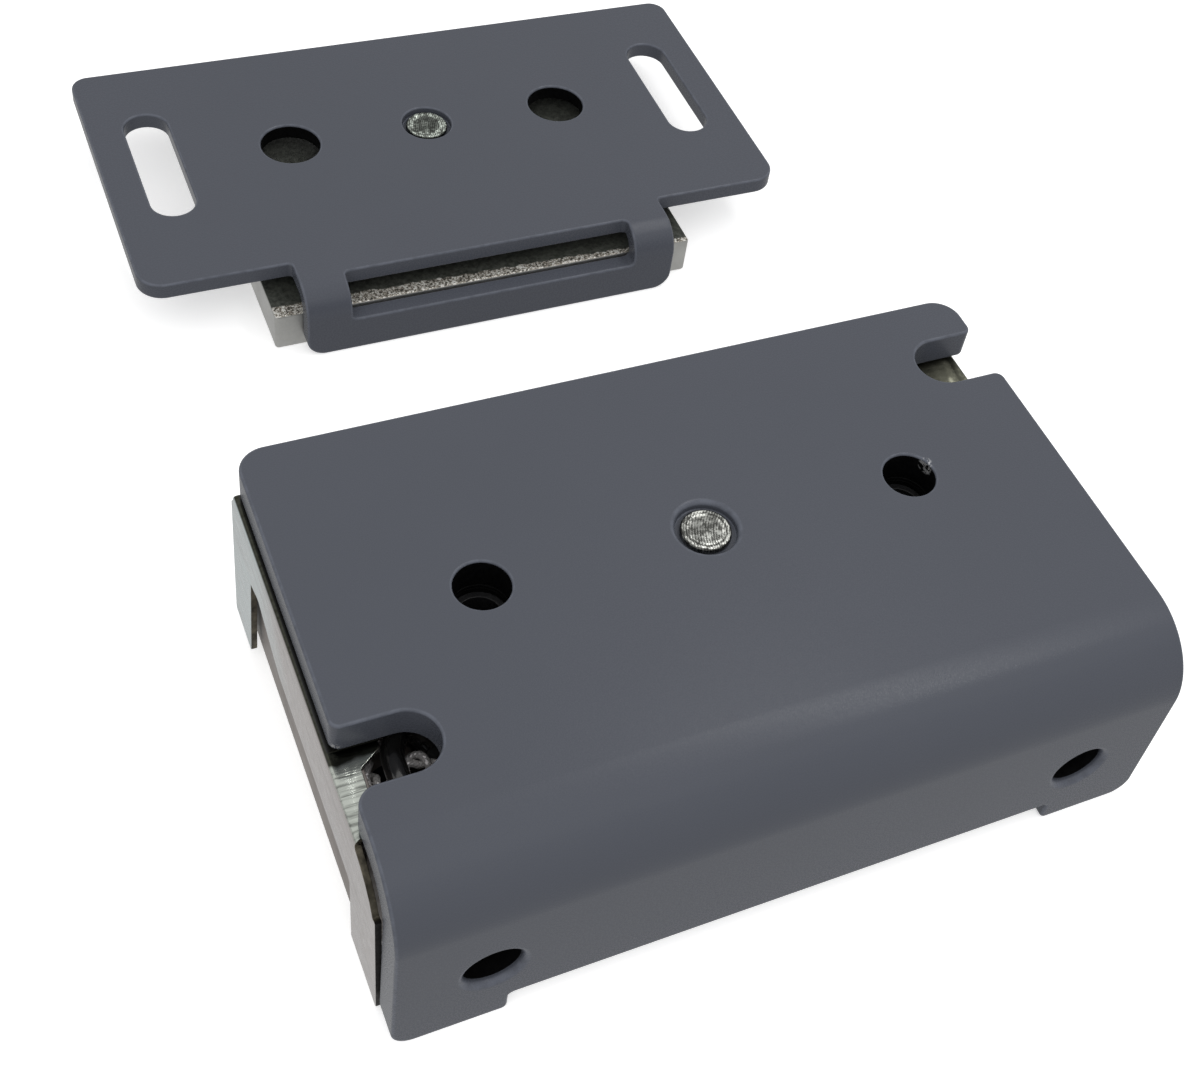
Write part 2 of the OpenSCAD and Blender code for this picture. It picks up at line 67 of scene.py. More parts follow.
class Body(str, Enum):
    """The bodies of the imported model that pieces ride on."""

    LOCK = "lock_body"
    STRIKE = "strike"
    SEAT = "rubber_seat"
    ARMATURE = "armature_body"


class Wall(int, Enum):
    """What the inside of a cut shows: the sheet's own finish, its second finish or its third, black one."""

    COATED = 0
    LINED = 1
    # Painted shade: a cut edge drawn in the black lining where it lies in a hole's shade.
    BLACK = 2


# Shared helpers


def shade(tone: Colour, bright: float) -> Colour:
    """Returns a tone made brighter or darker."""
    return tuple(np.array(tone) * bright)


def linked(name: str, data: bpy.types.ID) -> bpy.types.Object:
    """Makes an object and links it to the scene.

    Args:
        name: its name.
        data: its mesh, light or camera.

    Returns:
        The object.
    """
    made = bpy.data.objects.new(name, data)
    bpy.context.scene.collection.objects.link(made)
    return made


# Node graphs


class Graph:
    """A small writer of shader graphs that keeps each finish short."""

    def __init__(self, name: str) -> None:
        """Starts an empty graph with a Principled surface.

        Args:
            name: the material's name.
        """
        self.material = bpy.data.materials.new(name)
        self.material.use_nodes = True
        self.tree = self.material.node_tree
        self.tree.nodes.clear()
        output = self.tree.nodes.new("ShaderNodeOutputMaterial")
        self.surface = self.tree.nodes.new("ShaderNodeBsdfPrincipled")
        self.tree.links.new(self.surface.outputs["BSDF"], output.inputs["Surface"])
        self.coords = self.tree.nodes.new("ShaderNodeTexCoord").outputs["Object"]

    def feed(self, target: Socket, value: object) -> None:
        """Sets a constant or links an output into an input.

        Args:
            target: the input.
            value: a number, a colour or an output socket.
        """
        if isinstance(value, Socket):
            self.tree.links.new(value, target)
        else:
            target.default_value = value

    def put(self, socket: str, value: object) -> None:
        """Feeds one of the surface's inputs, found by name."""
        self.feed(self.surface.inputs[socket], value)

    def node(self, kind: str, inputs: dict[str | int, object] | None = None, **settings: object) -> bpy.types.Node:
        """Adds a node, sets its properties and feeds its inputs.

        Args:
            kind: the node's type.
            inputs: values or sockets by input name or number.
            settings: node properties.

        Returns:
            The new node.
        """
        made = self.tree.nodes.new(kind)
        for key, value in settings.items():
            setattr(made, key, value)
        for key, value in (inputs or {}).items():
            self.feed(made.inputs[key], value)
        return made

    def stretched(self, scale: Sequence[float], turn: Sequence[float] = (0.0, 0.0, 0.0)) -> Socket:
        """Returns the object coordinates turned, in radians, and scaled, for patterns that run one way."""
        mapped = self.node("ShaderNodeMapping", {"Vector": self.coords, "Scale": scale, "Rotation": turn})
        return mapped.outputs["Vector"]

    def noise(self, scale: float, detail: float = 3.0, rough: float = 0.5, vector: Socket | None = None,
              distortion: float = 0.0) -> Socket:
        """Adds a noise pattern.

        Args:
            scale: features per metre.
            detail: how many finer layers it has.
            rough: how strong the finer layers are.
            vector: other coordinates than the object's own.
            distortion: how far the pattern is bent about.

        Returns:
            Its height.
        """
        made = self.node("ShaderNodeTexNoise", {"Vector": vector or self.coords, "Scale": scale, "Detail": detail,
                                                "Roughness": rough, "Distortion": distortion})
        return made.outputs["Fac"]

    def ramp(self, value: Socket, stops: Sequence[tuple[float, Colour]]) -> Socket:
        """Lets a colour follow a value.

        Args:
            value: the value.
            stops: places from 0 to 1 with the colour at each.

        Returns:
            The colour.
        """
        made = self.node("ShaderNodeValToRGB", {"Fac": value})
        band = made.color_ramp
        while len(band.elements) < len(stops):
            band.elements.new(0.5)
        for element, (place, colour) in zip(band.elements, stops):
            element.position = place
            element.color = (*colour, 1.0)
        return made.outputs["Color"]

    def tinted(self, value: Socket, tone: Colour, *stops: tuple[float, float]) -> Socket:
        """Returns a colour that follows a value through shades of one tone: each stop is a place and a brightness."""
        return self.ramp(value, [(place, shade(tone, bright)) for place, bright in stops])

    def spread(self, value: Socket, low: float, high: float, from_low: float = 0.3, from_high: float = 0.7) -> Socket:
        """Carries a value from one range to another and holds it at the ends.

        Args:
            value: the value.
            low: what the start of the old range becomes.
            high: what its end becomes.
            from_low: the start of the old range.
            from_high: its end.

        Returns:
            The new value.
        """
        made = self.node("ShaderNodeMapRange", {"Value": value, "From Min": from_low, "From Max": from_high,
                                                "To Min": low, "To Max": high})
        return made.outputs["Result"]

    def step(self, value: Socket, start: float, end: float) -> Socket:
        """Returns 0 where a length in metres is under the start and 1 past the end, both given in millimetres."""
        return self.spread(value, 0.0, 1.0, start * MM, end * MM)

    def maths(self, how: str, *values: object) -> Socket:
        """Returns the result of a math node."""
        made = self.node("ShaderNodeMath", dict(enumerate(values)), operation=how)
        return made.outputs["Value"]

    def mixed(self, factor: object, first: object, second: object) -> Socket:
        """Blends two colours.

        Args:
            factor: the share of the second, a number or a socket.
            first: a colour or a socket.
            second: a colour or a socket.

        Returns:
            The blend.
        """
        made = self.node("ShaderNodeMix", data_type="RGBA")
        for number, value in ((0, factor), (6, first), (7, second)):
            self.feed(made.inputs[number], value if isinstance(value, (Socket, float)) else (*value, 1.0))
        return made.outputs[2]

    def relief(self, *layers: tuple[Socket, float, float]) -> None:
        """Stacks bumps on the surface.

        Args:
            layers: each is a height, its strength and its depth in metres.
        """
        normal = None
        for height, strength, depth in layers:
            feeds: dict[str | int, object] = {"Height": height, "Strength": strength, "Distance": depth}
            if normal is not None:
                feeds["Normal"] = normal
            normal = self.node("ShaderNodeBump", feeds).outputs["Normal"]
        self.put("Normal", normal)

    def place(self) -> tuple[Socket, Socket, Socket]:
        """Returns the object coordinates, in metres."""
        parts = self.node("ShaderNodeSeparateXYZ", {"Vector": self.coords}).outputs
        return parts["X"], parts["Y"], parts["Z"]

    def facing_up(self, low: float = 0.6, high: float = 0.8) -> Socket:
        """Tells surfaces that face up from those that face sideways.

        Args:
            low: the normal's height up to which a surface counts as sideways.
            high: the height from which it faces up.

        Returns:
            1 where the piece's own surface faces up and 0 where it faces sideways.
        """
        normal = self.tree.nodes.new("ShaderNodeTexCoord").outputs["Normal"]
        parts = self.node("ShaderNodeSeparateXYZ", {"Vector": normal})
        return self.spread(parts.outputs["Z"], 0.0, 1.0, low, high)

    def times(self, *values: object) -> Socket:
        """Multiplies values.

        Args:
            values: numbers or sockets.

        Returns:
            Their product.
        """
        product = values[0]
        for value in values[1:]:
            product = self.maths("MULTIPLY", product, value)
        return product

    def near(self, spot: Point, inner: float, outer: float) -> Socket:
        """Returns 1 within the inner distance of a point and 0 beyond the outer one, all in millimetres."""
        gap = self.node("ShaderNodeVectorMath", {0: self.coords, 1: tuple(v * MM for v in spot)}, operation="DISTANCE")
        return self.spread(gap.outputs["Value"], 1.0, 0.0, inner * MM, outer * MM)

    def radius_from(self, x: float, y: float) -> Socket:
        """Measures from an upright axis.

        Args:
            x: the axis in millimetres.
            y: the axis in millimetres.

        Returns:
            The distance in metres.
        """
        across, along, _ = self.place()
        dx, dy = self.maths("SUBTRACT", across, x * MM), self.maths("SUBTRACT", along, y * MM)
        return self.maths("SQRT", self.maths("ADD", self.times(dx, dx), self.times(dy, dy)))


@dataclass(frozen=True)
class CoatedSteel:
    """Dark grey powder coat: satin, a sparkling fine grain, arrises paler as thinner coat and painted highlight,
    chipped at a few spots.
    """

    name: str = "grey_powder_coat"
    tone: Colour = (0.0725, 0.0785, 0.0955)
    gloss: float = 0.27
    specular: float = 0.22
    # How much paler the arrises are drawn: thinner coat and a painted highlight.
    edge: float = 1.5
    chips: tuple[Point, ...] = ()
    bare: Colour = (0.75, 0.75, 0.76)

    def build(self) -> Material:
        """Returns the material."""
        g = Graph(self.name)
        cloud = g.noise(30.0, 4.0, 0.6)
        rim = g.node("ShaderNodeAttribute", attribute_name="rim").outputs["Fac"]
        # Painted highlight: the arrises marked by the rim attribute are drawn paler, partly as thinner coat.
        thin_coat_and_highlight = g.times(rim, g.spread(g.noise(700.0, 3.0), 0.35, 1.0, 0.35, 0.6))
        fleck = g.noise(3400.0, 2.0, 0.7)
        colour = g.mixed(thin_coat_and_highlight, g.tinted(cloud, self.tone, (0.3, 0.985), (0.7, 1.015)), shade(self.tone, self.edge))
        metal: object = 0.0
        for spot in self.chips:
            bare = g.times(g.near(spot, 0.5, 1.5), g.spread(g.noise(1700.0, 2.0, 0.6), 0.0, 1.0, 0.5, 0.54))
            colour = g.mixed(bare, colour, self.bare)
            metal = g.maths("MAXIMUM", metal, bare)
        g.put("Base Color", colour)
        g.put("Metallic", metal)
        g.put("Roughness", g.spread(fleck, self.gloss - 0.07, self.gloss + 0.07))
        g.put("Specular IOR Level", self.specular)
        g.relief((g.noise(850.0, 2.0, 0.45), 0.16, 0.00006), (fleck, 0.34, 0.00002))
        return g.material


@dataclass(frozen=True)
class DarkLining:
    """Black lining inside the drilled holes, drawn darker than black paint as painted shade deep in them."""

    name: str = "black_hole_lining"
    # Painted shade: nearly black, for the shade inside the holes.
    tone: Colour = (0.0016, 0.0016, 0.0018)
    chip: Point = (40.1, 1.5, 35.4)
    bare: Colour = (0.70, 0.70, 0.71)
    specular: float = 0.12

    def build(self) -> Material:
        """Returns the material; one chip shows bare metal inside the right access hole's rim."""
        g = Graph(self.name)
        bare = g.times(g.near(self.chip, 0.5, 1.5), g.spread(g.noise(1300.0, 2.0, 0.6), 0.0, 1.0, 0.47, 0.52))
        black = g.tinted(g.noise(900.0), self.tone, (0.3, 0.6), (0.7, 1.6))
        g.put("Base Color", g.mixed(bare, black, self.bare))
        g.put("Metallic", bare)
        g.put("Roughness", g.spread(g.noise(1500.0), 0.45, 0.7))
        g.put("Specular IOR Level", self.specular)
        g.relief((g.noise(2600.0, 3.0), 0.3, 0.00004))
        return g.material


@dataclass(frozen=True)
class ZincSheet:
    """Bright zinc plating: cool at the rear of the ends, warmer forward, wavy and mirror-like on the web.

    The web is painted near black and not metallic behind the left notch, from just inside its left edge to the middle,
    as shade under the cover, which all but touches it, and is soiled at the right end. Left of shade_x, behind a
    wandering line near shade_y, it is painted dark olive as the cover's shade and reflection. Places are in
    millimetres.
    """

    name: str = "zinc_sheet"
    cool: Colour = (0.66, 0.72, 0.72)
    warm: Colour = (0.56, 0.53, 0.515)
    web: Colour = (0.44, 0.465, 0.425)
    soil: Colour = (0.120, 0.120, 0.093)
    # Painted shade: the near-black tone of the web under the cover behind the left notch.
    dark: Colour = (0.006, 0.006, 0.005)
    # Painted shade and reflection: the dark olive of the web behind the left notch.
    shaded: Colour = (0.022, 0.022, 0.013)
    seam_x: float = -63.75
    seam_y: float = -16.3
    shade_x: float = -50.0
    shade_y: float = -18.7
    soiled_from: float = 46.0
    cool_from: float = 4.0
    cool_past: float = 19.0

    def build(self) -> Material:
        """Returns the material."""
        g = Graph(self.name)
        x, y, _ = g.place()
        up = g.facing_up(0.55, 0.8)
        cloud = g.noise(60.0, 4.0, 0.55)
        streak = g.noise(1.0, 3.0, 0.6, g.stretched((900.0, 60.0, 900.0), (0.6, 0.0, 0.0)))
        rearward = g.maths("ADD", g.step(y, self.cool_from, self.cool_past), g.spread(cloud, -0.2, 0.2))
        side = g.mixed(rearward, self.warm, self.cool)
        side = g.mixed(g.spread(streak, 0.0, 0.35, 0.5, 0.62), side, shade(self.warm, 0.72))
        waves = g.noise(1.0, 3.0, 0.55, g.stretched((110.0, 1500.0, 1500.0)), 0.5)
        top = g.tinted(waves, self.web, (0.36, 0.45), (0.47, 0.95), (0.60, 1.2))
        soiled = g.tinted(g.noise(420.0, 4.0, 0.6), self.soil, (0.35, 0.6), (0.55, 1.0), (0.68, 2.6))
        top = g.mixed(g.step(x, self.soiled_from, self.soiled_from + 1.0), top, soiled)
        # Painted shade: behind the left notch, from just inside its left edge to the middle, the web goes near black
        # and not metallic.
        inner = g.spread(y, self.seam_x * MM, (self.seam_x + 0.35) * MM, -10.0 * MM, 30.0 * MM)
        painted_seam_shade = g.times(g.step(g.maths("SUBTRACT", x, inner), 0.0, 0.12), g.spread(x, 1.0, 0.0, -1.0 * MM, 0.0),
                       g.step(y, self.seam_y, self.seam_y + 0.3))
        # Painted shade and reflection: left of shade_x and behind a wandering line the web is drawn dark olive.
        edge = g.maths("ADD", y, g.spread(g.noise(260.0, 2.0), -0.5 * MM, 0.5 * MM))
        leftward = g.spread(x, 1.0, 0.0, self.shade_x * MM, (self.shade_x + 1.0) * MM)
        shaded = g.times(g.step(edge, self.shade_y, self.shade_y + 0.5), leftward)
        top = g.mixed(painted_seam_shade, g.mixed(g.times(shaded, 0.93), top, self.shaded), self.dark)
        g.put("Base Color", g.mixed(up, side, top))
        g.put("Metallic", g.maths("SUBTRACT", 1.0, g.times(painted_seam_shade, up)))
        glossy = g.spread(x, 0.20, 0.42, (self.soiled_from - 2.0) * MM, self.soiled_from * MM)
        satin = g.spread(g.noise(700.0, 4.0, 0.6), 0.22, 0.38)
        g.put("Roughness", g.node("ShaderNodeMix", {0: up, 2: satin, 3: glossy}, data_type="FLOAT").outputs[0])
        g.relief((waves, 0.5, 0.00006), (g.noise(5200.0, 2.0, 0.6), 0.12, 0.00002))
        return g.material


@dataclass(frozen=True)
class ShearedEdge:
    """Bare cut edge of the sheet, brown with a pale burnished line."""

    name: str = "sheared_edge"
    tone: Colour = (0.105, 0.094, 0.070)
    front: float = -39.0

    def build(self) -> Material:
        """Returns the material; forward of the front, under the cover's flange, it is painted nearly black as shade."""
        g = Graph(self.name)
        _, y, _ = g.place()
        worn = g.tinted(g.noise(380.0, 5.0, 0.65), self.tone, (0.35, 0.35), (0.5, 1.0), (0.68, 2.0))
        # Painted shade: forward of the front the cut edge is drawn nearly black.
        flange_shade = g.spread(y, 1.0, 0.0, self.front * MM, (self.front + 0.4) * MM)
        g.put("Base Color", g.mixed(flange_shade, worn, shade(self.tone, 0.08)))
        g.put("Metallic", 0.75)
        g.put("Roughness", g.spread(g.noise(900.0, 4.0), 0.35, 0.6))
        g.relief((g.noise(2600.0, 4.0, 0.65), 0.4, 0.00006))
        return g.material


@dataclass(frozen=True)
class PlatedBar:
    """Plated bar: pale ground sides; its top is painted dark as shade, with a pitted front band painted bright as
    light.
    """

    name: str = "plated_bar"
    side: Colour = (0.50, 0.50, 0.48)
    # Painted shade: the top's colour where the strike plate shades it.
    dull: Colour = (0.060, 0.064, 0.055)
    # Painted light: the pitted band's brightest colour, where light falls onto the top's front edge.
    band: Colour = (0.80, 0.80, 0.76)
    pit: Colour = (0.03, 0.03, 0.028)
    rust: Colour = (0.32, 0.28, 0.22)
    front: float = 90.7
    widths: tuple[float, float] = (2.7, 1.3)
    half_length: float = 28.0

    def build(self) -> Material:
        """Returns the material; the band narrows evenly from left to right and its inner edge wanders."""
        g = Graph(self.name)
        x, y, _ = g.place()
        top = g.facing_up()
        pits = g.noise(2300.0, 3.0, 0.8)
        wander = g.times(g.maths("SUBTRACT", g.noise(420.0, 3.0, 0.6), 0.5), 2.0 * MM)
        reach = self.half_length * MM
        width = g.spread(x, self.widths[0] * MM, self.widths[1] * MM, -reach, reach)
        inward = g.maths("SUBTRACT", g.maths("SUBTRACT", y, self.front * MM), width)
        # Painted light and shade: on the top the front band is drawn bright and all behind it near black.
        beyond = g.step(g.maths("ADD", inward, wander), -0.1, 0.15)
        speckle = g.ramp(pits, [(0.42, self.pit), (0.5, self.rust), (0.58, self.band)])
        side = g.tinted(g.noise(120.0, 4.0, 0.6), self.side, (0.3, 0.85), (0.7, 1.1))
        dull = g.tinted(g.noise(1300.0, 4.0, 0.7), self.dull, (0.35, 0.6), (0.65, 1.7))
        g.put("Base Color", g.mixed(top, side, g.mixed(beyond, speckle, dull)))
        g.put("Metallic", g.maths("SUBTRACT", 0.9, g.times(top, 0.5)))
        g.put("Roughness", g.spread(pits, 0.30, 0.55))
        g.relief((pits, g.times(top, 0.5), 0.00012), (g.noise(9000.0, 2.0), 0.2, 0.00001))
        return g.material


@dataclass(frozen=True)
class CastMetal:
    """Matte die-cast or sawn metal with a fine skin."""

    name: str
    tone: Colour
    gloss: float = 0.55
    metal: float = 0.6
    grain: float = 1800.0

    def build(self) -> Material:
        """Returns the material."""
        g = Graph(self.name)
        g.put("Base Color", g.tinted(g.noise(150.0, 5.0, 0.6), self.tone, (0.3, 0.85), (0.7, 1.12)))
        g.put("Metallic", self.metal)
        g.put("Roughness", g.spread(g.noise(600.0, 4.0), self.gloss - 0.08, self.gloss + 0.08))
        g.relief((g.noise(self.grain, 4.0, 0.65), 0.35, 0.00005))
        return g.material


@dataclass(frozen=True)
class StackedSteel:
    """Core steel: the fine lines of laminations across the length, oiled and dark."""

    name: str = "core_steel"
    tone: Colour = (0.33, 0.33, 0.34)

    def build(self) -> Material:
        """Returns the material."""
        g = Graph(self.name)
        lines = g.noise(1.0, 2.0, 0.5, g.stretched((2000.0, 30.0, 30.0)))
        g.put("Base Color", g.tinted(lines, self.tone, (0.35, 0.7), (0.6, 1.1)))
        g.put("Metallic", 0.9)
        g.put("Roughness", g.spread(g.noise(400.0, 4.0), 0.3, 0.48))
        g.relief((lines, 0.4, 0.00004), (g.noise(3000.0), 0.15, 0.00002))
        return g.material


@dataclass(frozen=True)
class StruckSteel:
    """Set rivet head: a scratched disc, a ring pressed round it painted bright as highlight, and broken rings of
    painted shade.

    The brightness follows the distance from the axis through the bands, and that distance wanders with a noise, so the
    rings break up; curved tool marks cross the disc, at a steady pitch about a centre off to one side. Places and
    lengths are in millimetres.
    """

    name: str
    tone: Colour
    x: float
    y: float
    radius: float
    bands: tuple[tuple[float, float], ...]
    wander: float = 0.35
    gloss: float = 0.26
    marks: float = 0.42
    marks_centre: tuple[float, float] = (9.0, -4.0)
    broken: float = 0.55
    worn_share: float = 0.84
    worn_tone: Colour = (0.02, 0.02, 0.018)

    def build(self) -> Material:
        """Returns the material."""
        g = Graph(self.name)
        shift = g.times(g.maths("SUBTRACT", g.noise(900.0, 3.0, 0.6), 0.5), 2.0 * self.wander * MM)
        radius = g.maths("ADD", g.radius_from(self.x, self.y), shift)
        share = g.spread(radius, 0.0, 1.0, 0.0, self.radius * MM)
        gaps = g.spread(g.noise(520.0, 2.0, 0.5), 0.0, self.broken, 0.50, 0.42)
        # Painted highlight and shade: the bright and dark rings of the bands, broken by a dark tone in the gaps.
        bands = g.mixed(gaps, g.tinted(share, self.tone, *self.bands), shade(self.tone, 0.22))
        far = g.radius_from(self.x + self.marks_centre[0], self.y + self.marks_centre[1])
        arcs = g.maths("SINE", g.times(far, 2.0 * math.pi / (self.marks * MM)))
        scratch = g.noise(1350.0, 4.0, 0.75)
        worn = g.spread(g.maths("ADD", scratch, g.times(arcs, 0.06)), 0.0, 1.0, 0.44, 0.6)
        g.put("Base Color", g.mixed(worn, g.mixed(self.worn_share, bands, self.worn_tone), bands))
        g.put("Metallic", 1.0)
        g.put("Roughness", g.spread(scratch, self.gloss - 0.08, self.gloss + 0.14))
        g.relief((arcs, 0.30, 0.00003), (scratch, 0.45, 0.00006))
        return g.material


@dataclass(frozen=True)
class Moulded:
    """Rubber, nylon, resin or insulation, from matte to glossy."""

    name: str
    tone: Colour
    gloss: float = 0.5
    grain: float = 1400.0
    depth: float = 0.00004
    coat: float = 0.0

    def build(self) -> Material:
        """Returns the material."""
        g = Graph(self.name)
        g.put("Base Color", g.tinted(g.noise(300.0, 4.0, 0.6), self.tone, (0.3, 0.8), (0.7, 1.2)))
        g.put("Roughness", g.spread(g.noise(800.0, 3.0), self.gloss - 0.06, self.gloss + 0.06))
        g.put("Coat Weight", self.coat)
        g.put("Coat Roughness", 0.12)
        g.relief((g.noise(self.grain, 3.0, 0.6), 0.3, self.depth))
        return g.material


@dataclass(frozen=True)
class Enamelled:
    """Copper wire under varnish: turns lie along the winding as fine ridges."""

    name: str = "enamelled_copper"
    tone: Colour = (0.55, 0.20, 0.06)
    wire: float = 0.45

    def build(self) -> Material:
        """Returns the material."""
        g = Graph(self.name)
        _, _, z = g.place()
        turns = g.maths("SINE", g.times(z, 2.0 * math.pi / (self.wire * MM)))
        g.put("Base Color", g.tinted(g.noise(200.0), self.tone, (0.3, 0.7), (0.7, 1.1)))
        g.put("Metallic", 0.8)
        g.put("Roughness", g.spread(turns, 0.25, 0.4, -1.0, 1.0))
        g.relief((turns, 0.6, 0.0001))
        return g.material


@dataclass(frozen=True)
class PaleFloor:
    """Plain pale floor with a faint unevenness."""

    name: str = "pale_floor"
    glow: float = 0.45

    def build(self) -> Material:
        """Returns the material."""
        g = Graph(self.name)
        g.put("Base Color", g.tinted(g.noise(3.0), (1.0, 1.0, 1.0), (0.3, 0.90), (0.7, 0.93)))
        g.put("Roughness", 0.9)
        g.put("Specular IOR Level", 0.1)
        g.put("Emission Color", (1.0, 1.0, 1.0, 1.0))
        g.put("Emission Strength", self.glow)
        return g.material


# Mesh writing


@dataclass
class Shape:
    """Points with their normals in millimetres, faces, the finish number of each face and how sharp each point is."""

    points: np.ndarray
    normals: np.ndarray
    faces: list[np.ndarray] = field(default_factory=list)
    marks: list[np.ndarray] = field(default_factory=list)
    rim: np.ndarray | None = None

    def add(self, faces: np.ndarray, mark: int = 0) -> None:
        """Adds faces of one size, one row of point numbers each, with the finish number of all of them."""
        self.faces.append(np.asarray(faces, int))
        self.marks.append(np.full(len(faces), mark))

    def write(self, name: str, finishes: Sequence[Material]) -> bpy.types.Object:
        """Writes the mesh with its faces turned to agree with the normals.

        A face's own normal is the cross product of its diagonals; where it points against the mean of its points'
        normals the face is reversed.

        Args:
            name: the object's name.
            finishes: materials by finish number.

        Returns:
            The object, linked to the scene.
        """
        turned: list[list[int]] = []
        marks: list[int] = []
        for faces, mark in zip(self.faces, self.marks):
            corner = self.points[faces]
            side = np.cross(corner[:, 1] - corner[:, 0], corner[:, 2] - corner[:, 0])
            if faces.shape[1] == 4:
                side = side + np.cross(corner[:, 2] - corner[:, 0], corner[:, 3] - corner[:, 0])
            against = np.einsum("ij,ij->i", side, self.normals[faces].mean(axis=1)) < 0
            faces = np.where(against[:, None], faces[:, ::-1], faces)
            turned += faces.tolist()
            marks += mark.tolist()
        mesh = bpy.data.meshes.new(name)
        mesh.from_pydata((self.points * MM).tolist(), [], turned)
        mesh.polygons.foreach_set("use_smooth", np.ones(len(turned), bool))
        for finish in finishes:
            mesh.materials.append(finish)
        mesh.polygons.foreach_set("material_index", np.array(marks, np.int32))
        mesh.update()
        mesh.normals_split_custom_set_from_vertices(self.normals.tolist())
        if self.rim is not None:
            mesh.attributes.new("rim", "FLOAT", "POINT").data.foreach_set("value", self.rim.astype(np.float32))
        return linked(name, mesh)


def strip(first: np.ndarray, second: np.ndarray) -> np.ndarray:
    """Returns the quads that join two closed rows of point numbers."""
    return np.c_[first, np.roll(first, -1), np.roll(second, -1), second]


@dataclass
class Loop:
    """A closed outline in a flat sheet: its points, the normals that point out of the material, and its edge.

    An edge is a profile of insets into the material against depths below the top face, from top to bottom, with the
    turn of the normal at each step: 0 faces up, 90 sideways and 180 down. From the step lined_from on it shows what
    wall says.
    """

    points: np.ndarray
    normals: np.ndarray
    inset: np.ndarray
    depth: np.ndarray
    turn: np.ndarray
    wall: Wall
    lined_from: int


def round_corners(corners: Sequence[Corner], hole: bool, fine: float,
                  split_at: Sequence[float]) -> tuple[np.ndarray, np.ndarray]:
    """Rounds a polygon's corners and returns points with normals out of the material.

    Each corner is an arc tangent to both its sides: its centre lies on the bisector at radius over the sine of half
    the corner's angle. Straight sides are split where they cross the given lines.

    Args:
        corners: x, y and radius, anticlockwise for an outline.
        hole: reverses the loop, so that the material is outside it.
        fine: degrees per arc step.
        split_at: places along the second axis where straight sides get a point.

    Returns:
        Points and unit normals.
    """
    order = list(corners)[::-1] if hole else list(corners)
    xy = np.array([c[:2] for c in order], float)
    radii = [c[2] for c in order]
    points: list[np.ndarray] = []
    normals: list[np.ndarray] = []
    for i, here in enumerate(xy):
        before, after = xy[i - 1], xy[(i + 1) % len(xy)]
        a = (here - before) / np.linalg.norm(here - before)
        b = (after - here) / np.linalg.norm(after - here)
        bend = math.atan2(a[0] * b[1] - a[1] * b[0], float(a @ b))
        left = np.array([-a[1], a[0]]) * (1.0 if bend > 0 else -1.0)
        reach = radii[i] * math.tan(abs(bend) / 2)
        start = here - a * reach
        centre = start + left * radii[i]
        steps = max(2, int(math.ceil(abs(math.degrees(bend)) / fine)) + 1)
        angles = np.linspace(0.0, bend, steps)
        arm = start - centre
        turned = np.c_[arm[0] * np.cos(angles) - arm[1] * np.sin(angles),
                       arm[0] * np.sin(angles) + arm[1] * np.cos(angles)]
        points.append(centre + turned)
        normals.append(turned / radii[i] * (1.0 if bend > 0 else -1.0))
    out_p: list[np.ndarray] = []
    out_n: list[np.ndarray] = []
    for i, (p, n) in enumerate(zip(points, normals)):
        out_p.append(p)
        out_n.append(n)
        end, begin = p[-1], points[(i + 1) % len(points)][0]
        low, high = sorted((end[1], begin[1]))
        crossed = np.array([s for s in split_at if low + 1e-4 < s < high - 1e-4])
        if len(crossed):
            share = np.sort((crossed - end[1]) / (begin[1] - end[1]))[:, None]
            out_p.append(end + (begin - end) * share)
            out_n.append(np.repeat(n[-1][None], len(share), 0))
    p, n = np.concatenate(out_p), np.concatenate(out_n)
    keep = np.linalg.norm(p - np.roll(p, 1, axis=0), axis=1) > 1e-5
    return p[keep], n[keep]


def cut(corners: Sequence[Corner], hole: bool, edge: Edge, fine: float, splits: Sequence[float] = (),
        wall: Wall = Wall.COATED, lined_from: int = 0) -> Loop:
    """Returns an outline with its corners rounded, at so many degrees per arc step, and its edge."""
    return Loop(*round_corners(corners, hole, fine, splits), *edge, wall=wall, lined_from=lined_from)


def quarter(steps: int) -> Edge:
    """Returns the angles of a quarter turn in degrees, with their sines and cosines."""
    a = np.linspace(0.0, 90.0, steps + 1)
    return a, np.sin(np.radians(a)), np.cos(np.radians(a))


def soft_edge(thickness: float, radius: float, steps: int = 4) -> Edge:
    """Profile of a square edge with both arrises rounded to a quarter circle.

    Args:
        thickness: the sheet's thickness.
        radius: the rounding.
        steps: steps per quarter.

    Returns:
        Insets, depths and normal turns in degrees.
    """
    a, s, c = quarter(steps)
    inset = np.r_[radius * (1 - s), radius * (1 - s[::-1])]
    depth = np.r_[radius * (1 - c), thickness - radius * (1 - c[::-1])]
    return inset, depth, np.r_[a, 180.0 - a[::-1]]


def mouth_edge(thickness: float, radius: float, painted: float) -> Edge:
    """Profile of a bore with a rounded mouth, a ring where the paint ends inside it and a plain far end.

    Args:
        thickness: the sheet's thickness.
        radius: the rounding of the mouth.
        painted: how deep the paint reaches.

    Returns:
        Insets, depths and normal turns in degrees.
    """
    a, s, c = quarter(5)
    burr = 0.15
    return (np.r_[radius * (1 - s), 0.0, 0.0, burr], np.r_[radius * (1 - c), painted, thickness - burr, thickness],
            np.r_[a, 90.0, 90.0, 150.0])


